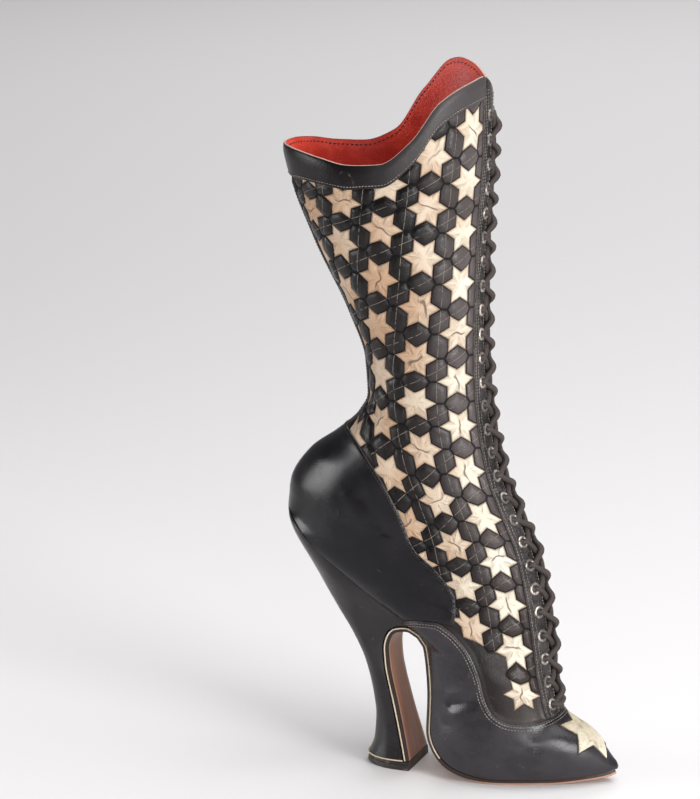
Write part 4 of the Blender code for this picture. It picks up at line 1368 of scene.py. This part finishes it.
def relax(mesh, chosen, passes):
    """Evens out the chosen points of a mesh among their neighbours."""
    points = np.zeros(len(mesh.vertices) * 3)
    mesh.vertices.foreach_get("co", points)
    points = points.reshape(-1, 3)
    ends = np.zeros(len(mesh.edges) * 2, np.int32)
    mesh.edges.foreach_get("vertices", ends)
    a, b = ends.reshape(-1, 2).T
    a, b = np.concatenate([a, b]), np.concatenate([b, a])
    used = chosen[a]
    a, b = a[used], b[used]
    count = np.maximum(np.bincount(a, minlength=len(points)), 1)
    for _ in range(passes):
        for k in range(3):
            mean = np.bincount(a, points[b, k], len(points)) / count
            points[chosen, k] += 0.5 * (mean - points[:, k])[chosen]
    mesh.vertices.foreach_set("co", points.ravel())
    mesh.update()


def make_counter():
    """The counter, with the crease round the seat's back eased, and stitches from its front corner up."""
    grids = [over_grid(low, high, 90, 0.9, math.pi, 120) for low, high in ((5.2, SEAT), (SEAT, 14.2))]
    mesh = make_cut_piece(
        "counter_leather", grids, COUNTER_OUTLINE, COUNTER_FOLDS, BLACK, "counter",
        soften(COUNTER_EDGE)[COUNTER_CORNER * SOFT_STEPS:], (1.4,), DARK_THREAD,
    ).data
    count = len(mesh.vertices)
    station = np.zeros(len(mesh.loops) * 2)
    mesh.uv_layers["skin"].data.foreach_get("uv", station)
    corners = np.zeros(len(mesh.loops), np.int32)
    mesh.loops.foreach_get("vertex_index", corners)
    u = np.zeros(count)
    u[corners] = station[1::2] / MM
    inside = np.zeros(count)
    mesh.attributes["edge"].data.foreach_get("value", inside)
    outer = np.arange(count) < count // 2
    relax(mesh, outer & (inside > 0.6) & (u > SEAT - 0.7) & (u < SEAT + 1.3), 45)


def make_band():
    """The band round the collar, rolled over the rim."""
    theta = np.linspace(float(reach(np.array([0.5]), EYESTAY_REACH + GAP)[0]), math.pi, 110)
    depth = band_depth(theta)
    # Drop below the rim as a share of the depth and in millimetres, outset, and how raw it is
    profile = (
        (0.0, 1.2, -RIM_INSIDE + 0.3, 0.0), (0.0, 0.15, -RIM_INSIDE - 0.1, 0.3),
        (0.0, -0.1, -RIM_INSIDE + 0.1, 1.0), (0.0, -0.2, 0.0, 1.0), (0.0, 0.05, 0.45, 0.6),
        (0.0, 0.5, 0.75, 0.0), (0.0, 1.6, 1.1, 0.0), (0.25, 0.0, OUTER + 0.1, 0.0),
        (0.4, 0.0, OUTER + 0.1, 0.0), (0.7, 0.0, OUTER + 0.05, 0.0), (0.92, 0.0, OUTER, 0.0),
        (1.0, -0.3, OUTER - 0.15, 0.0), (1.0, 0.0, OUTER - 0.5, 0.0), (1.0, 0.0, 0.0, 0.0),
    )

    def along_rim(side, drop, outset):
        return skin(collar(theta, side, drop), theta, side, outset)

    sides = (1, -1)
    grids = [
        np.stack([along_rim(side, share * depth + drop, outset) for share, drop, outset, _ in profile])
        for side in sides
    ]
    mesh = grids_mesh("top_band_leather", grids, (False, True))
    add_value(mesh, "edge", 3.0 - 3.0 * np.repeat([row[3] for row in profile] * 2, len(theta)))
    add_piece("top_band_leather", mesh, BAND_RIM, "band_leather", "top_band")
    runs = [along_rim(side, depth - 1.6, OUTER + 0.14) for side in sides]
    sew("band_stitches", runs, PALE_THREAD, "band_leather", 0.4)
    runs = [along_rim(side, 2.6, -RIM_INSIDE - 0.75) for side in sides]
    sew("lining_stitches", runs, DARK_THREAD, "band_leather", 0.6, pitch=2.6, length=1.7)


def make_back_stay():
    """The strip down the back, whose top goes under the band."""
    top = float(collar(np.array([math.pi]), 1, BAND_DEPTH_BACK - 1.0)[0])
    stations = np.linspace(top, 6.7, 150)
    half = BACK_STAY_HALF / section(stations)["half_width"]
    share = np.array([1.0, 0.96, 0.9, 0.8, 0.6, 0.4, 0.2, 0.0])
    theta = math.pi - half[:, None] * share[None, :]
    u = np.repeat(stations[:, None], len(share), axis=1)
    inside = (1 - share) * BACK_STAY_HALF
    under_band = step_up(stations, top + 0.02, top + 0.12)[:, None]
    height = 0.2 + (GAP - 0.2 + rounded(inside, OVERLAY)) * under_band
    parts = strip_parts(u, theta, (1, -1), inside=inside, top=height, low=BACK_OFF)
    add_piece("back_stay_leather", cover("back_stay_leather", parts), BLACK, "black_leather", "back_stay")
    line = math.pi - half * (1 - 1.3 / BACK_STAY_HALF)
    runs = [skin(stations, line, side, OUTER + 0.1)[6:] for side in (1, -1)]
    sew("back_stay_stitches", runs, PALE_THREAD, "black_leather", 0.36)


def front_stations():
    """The stations of the eyelets, a pitch apart down the front from the top."""
    stations = np.linspace(0.3, THROAT - 0.35, 2001)
    points = last_point(stations, reach(stations, EYELET_REACH), 1)
    run = length_along(points)
    top = np.interp(-TOP_EYELET, -points[:, 2], run)
    count = int((run[-1] - top) / EYELET_PITCH) + 1
    return np.interp(top + EYELET_PITCH * np.arange(count), run, stations)


EYELETS = front_stations()
EYELET_TURNS = reach(EYELETS, EYELET_REACH)


def stay_rise(u, far):
    """Height of the eyestay, pulled up a little at each eyelet and puckered between them."""
    station = np.interp(u, EYELETS, np.arange(len(EYELETS)))
    pull = np.cos(2 * math.pi * station)
    return STAY_PULL * pull * np.exp(-(((far - EYELET_REACH) / STAY_PULL_HALF) ** 2))


def make_eyestay(name, side, node):
    """One of the facings that carry the eyelets, with a ridge and three rows of stitches."""
    foot = THROAT - 0.15
    rows = np.linspace(0, 1, 420)
    columns = np.array([0, 0.03, 0.08, 0.15, 0.25, 0.35, 0.45, 0.55, 0.65, 0.75, 0.83, 0.9, 0.95, 0.98, 1.0])
    far = (SLIT_HALF + 0.1) + (EYESTAY_REACH - SLIT_HALF - 0.1) * columns
    top = collar(np.radians(4.0 + 14.0 * columns), side, 0.4)
    u = top[None, :] + (foot - top)[None, :] * rows[:, None]
    theta = np.stack([reach(u[:, k], far[k]) for k in range(len(far))], axis=1)
    inside = np.minimum(np.minimum(far - far[0], far[-1] - far), (u - top[None, :]) * 60)
    under_vamp = 1 - step_up(inside_of(last_point(u, theta, side), VAMP_OUTLINE), -0.8, 0.4)
    ridge = sum(rise * np.exp(-(((far - at) / half) ** 2)) for rise, at, half in STAY_RIDGES)
    height = GAP + rounded(inside, OVERLAY) + stay_rise(u, far) + ridge
    height = 0.25 + (height - 0.25) * under_vamp
    parts = strip_parts(u, theta, (side,), inside=inside, top=height, low=BACK_OFF)
    add_piece(name, cover(name, parts), FACING, "band_leather", node)
    runs = []
    stations = np.linspace(float(top.mean()) + 0.06, foot - 0.35, 500)
    for place in STAY_THREADS:
        lift = OUTER + 0.1 + stay_rise(stations, place)
        runs.append(skin(stations, reach(stations, place), side, lift))
    sew(name + "_stitches", runs, PALE_THREAD, "band_leather", 0.38, length=1.45)


def make_eyelets():
    """A ring and a dark hole at every eyelet of both facings."""
    points = np.concatenate([skin(EYELETS, EYELET_TURNS, side, OUTER + 0.3) for side in (1, -1)])
    outs = np.concatenate([last_normal(EYELETS, EYELET_TURNS, side) for side in (1, -1)])
    spots = bpy.data.meshes.new("spots")
    spots.from_pydata((points * MM).tolist(), [], [])
    spots.attributes.new("out", "FLOAT_VECTOR", "POINT").data.foreach_set("vector", outs.ravel())
    values = {"Ring Radius": RING_ROUND * MM, "Roll Radius": RING_ROLL * MM, "Metal": METAL}
    add_piece("eyelet_rings", run_tree("eyelet_rings", spots, EYELET, values), None, "band_leather")
    hole = bmesh.new()
    for spot, out in zip(points, outs):
        frame_at = Vector(out).to_track_quat("Z", "Y").to_matrix().to_4x4()
        frame_at.translation = Vector(spot - 0.12 * out) * MM
        bmesh.ops.create_circle(hole, cap_ends=True, segments=16, radius=HOLE_ROUND * MM, matrix=frame_at)
    mesh = bpy.data.meshes.new("eyelet_holes")
    hole.to_mesh(mesh)
    hole.free()
    add_piece("eyelet_holes", mesh, TONGUE, "band_leather")


def tube_mesh(name, paths, radii, sides):
    """Round cords along paths, with their lengths and turns as a UV map."""
    turns = np.linspace(0, 2 * math.pi, sides + 1)
    cosines = np.cos(turns)[None, :, None]
    sines = np.sin(turns)[None, :, None]
    grids = []
    uvs = []
    for path, radius in zip(paths, radii):
        run = np.gradient(path, axis=0)
        run /= np.linalg.norm(run, axis=1, keepdims=True)
        across = np.cross(run, [0.13, 1.0, 0.21])
        across /= np.linalg.norm(across, axis=1, keepdims=True)
        up = np.cross(run, across)
        ring = cosines * across[:, None, :] + sines * up[:, None, :]
        grids.append(path[:, None, :] + np.broadcast_to(radius, len(path))[:, None, None] * ring)
        uv = np.meshgrid(length_along(path) * MM, turns / (2 * math.pi), indexing="ij")
        uvs.append(np.stack(uv, axis=-1).reshape(-1, 2))
    mesh = grids_mesh(name, grids, [True] * len(grids))
    add_uv(mesh, "cord", np.concatenate(uvs))
    return mesh


def lace_run(stations, swing, lift, t, ends):
    """A run of lace across the slit that goes down into the eyelets within a share of its ends."""
    dive = np.clip(np.minimum(t, 1 - t) / ends, 0, 1)
    lift = lift * np.sqrt(domed(dive)) - LACE_SUNK * (1 - dive)
    return skin(stations, np.abs(swing), np.where(swing >= 0, 1, -1), lift)


def make_lace():
    """The lace: both ways over the slit from each eyelet to the next one across, and a bar at the foot."""
    paths = []
    radii = []
    wobble = np.random.default_rng(LACE_SEED)
    t = np.linspace(0, 1, LACE_POINTS)
    crossing = np.exp(-(((t - 0.5) / CROSSING_HALF) ** 2))
    for k in range(len(EYELETS) - 1):
        for first in (1, -1):
            over = first if k % 2 == 0 else -first
            stations = EYELETS[k] + (EYELETS[k + 1] - EYELETS[k]) * step_up(t, 0.05, 0.95)
            start = first * EYELET_TURNS[k]
            swing = start + (-first * EYELET_TURNS[k + 1] - start) * t
            lift = OUTER + 0.4 * LACE_ROUND + (over * LACE_PARTING + LACE_RISE) * crossing
            lift += wobble.uniform(-0.1, 0.15)
            paths.append(lace_run(stations, swing, lift, t, 0.12))
            radii.append(LACE_ROUND * (1 + KNOT_SWELL * crossing))
    stations = EYELETS[-1] + 0.12 * np.sin(math.pi * t)
    paths.append(lace_run(stations, EYELET_TURNS[-1] * (1 - 2 * t), OUTER + LACE_ROUND, t, 0.15))
    radii.append(LACE_ROUND)
    add_piece("lace_cords", tube_mesh("lace_cords", paths, radii, 10), CORD, "lace_cord", "lace")


def make_tongue():
    """The tongue behind the lacing, with a red back."""
    stations = below_collar(np.linspace(0, THROAT + 0.6, 220), np.array(0.3), 1)
    stations = np.maximum(stations, stations[0] + 0.12)
    share = np.linspace(0, 1, 12)
    theta = reach(stations, np.repeat((TONGUE_REACH * share)[None, :], len(stations), axis=0))
    going_down = np.linspace(1, 0, len(stations))[:, None]
    u = stations[:, None] + TONGUE_CORNER * share[None, :] ** 4 * going_down ** 6
    backs = [skin(u, theta, side, -WALL - TONGUE_RED) for side in (1, -1)]
    red = grids_mesh("tongue_lining", backs, (True, False))
    add_piece("tongue_lining", red, LINING, "insole_leather")
    parts = strip_parts(
        u, theta, (1, -1), inside=TONGUE_REACH * (1 - share),
        top=-WALL - TONGUE_FRONT, low=-WALL - TONGUE_BACK,
    )
    add_piece("tongue_leather", cover("tongue_leather", parts), TONGUE, "tongue_leather", "tongue")


def make_toe_star():
    """The star let into the toe, with its rim pressed down."""
    middle = np.array(TOE_STAR_STATION)
    spot = last_point(middle, np.array(0.0), 1)
    along = np.cross([0, 1, 0], last_normal(middle, np.array(0.0), 1))
    u, theta = over_grid(15.9, 20.1, 120, 0.0, 1.7, 110)
    parts = []
    runs = []
    for side in (1, -1):
        ahead = (last_point(u, theta, side) - spot) @ along / TOE_STAR_ROUND
        right = (TOE_STAR_SIDE - side * girth(u, theta)) / TOE_STAR_ROUND
        x = ahead * math.cos(TOE_STAR_TURN) + right * math.sin(TOE_STAR_TURN)
        y = right * math.cos(TOE_STAR_TURN) - ahead * math.sin(TOE_STAR_TURN)
        inside = (0.5 - from_star_middle(x, y)) * TOE_STAR_ROUND
        part = trim(u, theta, inside)
        crown = 0.35 * domed(part["inside"] / 4.0)
        top = OUTER + 0.15 + rounded(part["inside"], 0.75, 0.8) + crown
        parts.append(dict(part, side=side, top=top, low=OUTER - 0.3))
        row = trim(u, theta, inside + 0.45)
        runs += chains(skin(row["u"], row["theta"], side, OUTER + 0.1), row["segments"])
    sew("toe_star_stitches", runs, DARK_THREAD, "star_leather", 0.6, pitch=1.4, length=1.3)
    add_piece("toe_star_leather", cover("toe_star_leather", parts), TOE_CREAM, "star_leather", "toe_star")


def loft_mesh(name, rings, values=None):
    """A closed skin through rings of equal length, capped at both ends."""
    rings = np.asarray(rings, float)
    n, count = rings.shape[:2]
    ids = np.arange(n * count).reshape(n, count)
    on = np.roll(ids, -1, axis=1)
    quads = np.stack([ids[:-1], on[:-1], on[1:], ids[1:]], axis=-1).reshape(-1, 4)
    mesh = make_mesh(name, rings.reshape(-1, 3), quads)
    if values is not None:
        add_value(mesh, "edge", np.asarray(values, float).ravel())
    shape = bmesh.new()
    shape.from_mesh(mesh)
    shape.verts.ensure_lookup_table()
    for ring in (ids[0], ids[-1]):
        shape.faces.new([shape.verts[int(k)] for k in ring])
    bmesh.ops.recalc_face_normals(shape, faces=shape.faces)
    shape.to_mesh(mesh)
    shape.free()
    mesh.set_sharp_from_angle(angle=math.radians(40))
    return mesh


def sole_lines():
    """The outsole's top and bottom lines, half widths and sways, from the toe to the foot of the heel."""
    stations = np.concatenate([np.linspace(21.45, TREAD, 60), np.linspace(TREAD - 0.05, 14, 90)])
    s = section(stations)
    at = np.linspace(0, len(BREAST) - 1, 110)
    breast = np.stack([hermite(column, at) for column in np.array(BREAST).T], axis=1)
    tops = np.concatenate([np.stack(under_line(stations, GAP), axis=1), breast[:, :2]])
    lip = SOLE_LIP * (1 - 1.7 * step_up(stations, 20.0, 21.3))
    halves = np.concatenate([s["sole_half"] + lip, breast[:, 2]])
    sways = np.concatenate([s["sway"], np.zeros(len(at))])
    run = np.gradient(tops, axis=0)
    run = run / np.linalg.norm(run, axis=1, keepdims=True)
    bottoms = tops + SOLE_THICK * np.stack([-run[:, 1], run[:, 0]], axis=1)
    flat = np.zeros(len(tops), bool)
    flat[: len(stations)] = (stations >= TREAD - 1e-6) & (stations <= TOE_BOX + 1e-6)
    bottoms[flat] = np.stack([tops[flat][:, 0], np.zeros(flat.sum())], axis=1)
    bottoms[:, 1] = np.maximum(bottoms[:, 1], 0)
    bottoms[-1] = (tops[-1][0] + SOLE_THICK, tops[-1][1])
    return tops, bottoms, halves, sways


def make_outsole():
    """The leather outsole with rounded edges: tread, waist, over the arch and down the breast."""
    # Across half a ring: share of the half width, share of the thickness
    ring_shape = (
        (0.96, 0.0), (1.0, 0.12), (1.0, 0.75), (0.985, 0.93), (0.95, 1.0), (0.8, 1.0), (0.5, 1.0), (0.2, 1.0),
    )
    ring_shape = [(-a, b) for a, b in ring_shape] + list(reversed(ring_shape))
    rings = []
    edges = []
    for top, low, half, sway in zip(*sole_lines()):
        shade = 2.4 * step_up(-top[0], -30.0, -5.0)
        for wide, deep in ring_shape:
            x, z = top + (low - top) * deep
            rings.append((x, sway + wide * half, z))
            edges.append(min((1 - abs(wide)) * half + (deep - 0.6) * 3.0 - shade, 9.0))
    rings = np.reshape(rings, (-1, len(ring_shape), 3))
    mesh = loft_mesh("outsole_leather", rings, edges)
    add_piece("outsole_leather", mesh, SOLE, "sole_leather", "outsole")


def make_piping():
    """Cream cord where the sole leather meets the heel and the waist, and above the top lift."""
    tops, bottoms, halves, sways = (line[PIPING_FIRST:] for line in sole_lines())
    line = tops + (bottoms - tops) * PIPING_DEEP
    paths = [
        np.stack([line[:, 0], sways + side * (halves + 0.12), line[:, 1]], axis=1) for side in (1, -1)
    ]
    ring = np.array(heel_ring(HEEL[-1], 24, 0.5))
    ring[:, 2] = LIFT + 0.55
    paths.append(ring)
    mesh = tube_mesh("edge_piping", paths, [PIPING_ROUND] * len(paths), 8)
    add_piece("edge_piping", mesh, CREAM, "sole_leather")


def heel_ring(row, count, swelled=0.0):
    """A heel section: straight across its breast, round at its back."""
    r = dict(zip(HEEL_COLUMNS, row))
    ring = []
    for side in (-1, 1):
        shares = np.sin(np.linspace(0, math.pi / 2, count))
        shares = shares if side == -1 else shares[-2::-1]
        for q in shares:
            swell = r["breast_half"] + (r["half"] - r["breast_half"]) * min(1.0, 2.5 * q) ** 0.8
            y = side * (swell + swelled) * max(1 - q ** r["square"], 0) ** 0.5
            x = r["breast_x"] + (r["back_x"] - swelled - r["breast_x"]) * q
            z = r["breast_z"] + (r["back_z"] - r["breast_z"]) * q
            ring.append((x, y, z))
    return ring


def seat_half(x):
    """Half the width of the counter's foot, from above, at places along the boot."""
    stations = np.linspace(SEAT, STATION["crest"] + 0.3, 120)
    s = section(stations)
    run = np.stack([np.gradient(s["back_x"]), np.gradient(s["sole_half"])], axis=1)
    run = run / np.linalg.norm(run, axis=1, keepdims=True)
    edge_x = s["back_x"] - HEEL_MEETS * run[:, 1]
    edge_half = s["sole_half"] + HEEL_MEETS * run[:, 0]
    edge_x[0] = s["back_x"][0] - HEEL_MEETS
    edge_half[0] = 0.0
    return np.interp(x, edge_x, edge_half)


def make_heel():
    """The heel block, whose top swells to meet the counter's foot."""
    table = np.array(HEEL)
    at = np.concatenate([np.linspace(0, 2, 40), np.linspace(2, len(HEEL) - 1, 76)[1:]])
    rings = []
    for place in at:
        row = [float(hermite(column, np.array(place))) for column in table.T]
        ring = np.array(heel_ring(row, 30))
        back_x, _, breast_x = row[:3]
        q = (ring[:, 0] - breast_x) / (back_x - breast_x)
        near_top = (1 - step_up(place, 0, 3.2)) * step_up(q, 0.05, 0.4)
        ring[:, 0] -= HEEL_MEETS * near_top * q ** 2
        wide = np.where(q > 0.999, 0, np.sign(ring[:, 1]) * seat_half(ring[:, 0]))
        ring[:, 1] += (wide - ring[:, 1]) * near_top
        ring[:, 2] += HEEL_LIFTS * np.maximum(near_top, 1 - step_up(place, 0, 0.5))
        groove = SEAM_DEEP * math.exp(-((place / 0.2) ** 2))
        ring[:, 1] -= groove * np.clip(ring[:, 1] / 3.0, -1, 1)
        ring[:, 0] += groove * q ** 2
        rings.append(ring)
    # Distance from the heel's top, along which its edge colour paints shade at the seam
    from_seam = np.repeat(1.25 * at, len(rings[0]))
    add_piece("heel_block", loft_mesh("heel_block", rings, from_seam), HEEL_BLACK, "heel_leather", "heel")


def make_top_lift():
    """The piece that the heel stands on, with a groove round it."""
    row = dict(zip(HEEL_COLUMNS, HEEL[-1]))
    # Height, and how far it stands out beyond the heel's foot
    profile = (
        (LIFT, -0.1), (LIFT - 0.3, 0.3), (3.4, 0.45), (3.2, 0.25), (3.0, 0.5), (0.5, LIFT_FLARE), (0.0, 0.4),
    )
    rings = []
    for z, swelled in profile:
        flat = dict(row, back_z=z, breast_z=z, breast_x=row["breast_x"] + SOLE_THICK + 0.8)
        rings.append(heel_ring([flat[c] for c in HEEL_COLUMNS], 24, swelled))
    mesh = loft_mesh("top_lift_leather", rings)
    add_piece("top_lift_leather", mesh, LIFT_BLACK, "lift_leather", "top_lift")


make_upper()
make_lining()
make_vamp()
make_counter()
make_band()
make_back_stay()
make_eyestay("eyestay_left_leather", 1, "eyestay_left")
make_eyestay("eyestay_right_leather", -1, "eyestay_right")
make_eyelets()
make_lace()
make_tongue()
make_toe_star()
make_outsole()
make_piping()
make_heel()
make_top_lift()
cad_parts["insole"].data.materials.clear()
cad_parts["insole"].data.materials.append(INSOLE)


# Floor, light and camera

FLOOR_HALF = 6e3


def make_floor():
    """A wide pale floor."""
    corners = FLOOR_HALF * np.array([(-1, -1, 0), (1, -1, 0), (1, 1, 0), (-1, 1, 0)])
    mesh = make_mesh("floor", corners, [[0, 1, 2, 3]])
    made, _, sockets = finish("pale_floor", 0.55)
    sockets["Base Color"].default_value = rgb(0.80, 0.785, 0.79)
    mesh.materials.append(made)
    floor = bpy.data.objects.new("floor", mesh)
    bpy.context.scene.collection.objects.link(floor)


def add_light(name, place, aim, size, power, spread=180):
    lamp = bpy.data.lights.new(name, "AREA")
    lamp.shape = "RECTANGLE"
    lamp.size, lamp.size_y = size
    lamp.energy = power
    lamp.spread = math.radians(spread)
    made = bpy.data.objects.new(name, lamp)
    made.location = place
    made.rotation_euler = (Vector(aim) - Vector(place)).to_track_quat("-Z", "Y").to_euler()
    bpy.context.scene.collection.objects.link(made)


def make_camera():
    """The photograph's view: place, turn, tilt, roll and lens."""
    place = Vector((0.55502, -1.70193, 0.62))
    turn, tilt, roll = -0.34659, -0.22438, -0.00153
    ahead = Vector((math.cos(tilt) * math.sin(turn), math.cos(tilt) * math.cos(turn), math.sin(tilt)))
    right = Vector((math.cos(turn), -math.sin(turn), 0))
    up = right.cross(ahead)
    side = right * math.cos(roll) + up * math.sin(roll)
    top = up * math.cos(roll) - right * math.sin(roll)
    lens = bpy.data.cameras.new("camera")
    lens.lens = 150.46
    lens.sensor_width = 36.0
    lens.clip_end = 50.0
    made = bpy.data.objects.new("camera", lens)
    made.matrix_world = Matrix((
        (side.x, top.x, -ahead.x, place.x), (side.y, top.y, -ahead.y, place.y),
        (side.z, top.z, -ahead.z, place.z), (0, 0, 0, 1),
    ))
    bpy.context.scene.collection.objects.link(made)
    bpy.context.scene.camera = made


make_floor()
add_light("right_box", (1.9, -1.0, 0.65), (0, 0, 0.2), (0.9, 1.1), 44)
add_light("left_box", (-1.70, -0.78, 0.42), (0, 0, 0.22), (1.1, 0.7), 3.4, spread=70)
add_light("front_box", (0.95, -1.75, 0.45), (0, 0, 0.1), (0.7, 0.6), 10)
add_light("overhead", (1.1, -0.1, 2.6), (0.8, 0.1, 0), (2.4, 2.4), 60)
add_light("backdrop", (-0.4, 3.5, 3.0), (-0.6, 3.5, 0), (3.0, 3.0), 80)
bpy.context.scene.view_settings.view_transform = "Standard"
world = bpy.data.worlds.new("studio")
world.use_nodes = True
world.node_tree.nodes["Background"].inputs["Color"].default_value = rgb(0.86, 0.855, 0.865)
world.node_tree.nodes["Background"].inputs["Strength"].default_value = 0.20
bpy.context.scene.world = world
make_camera()
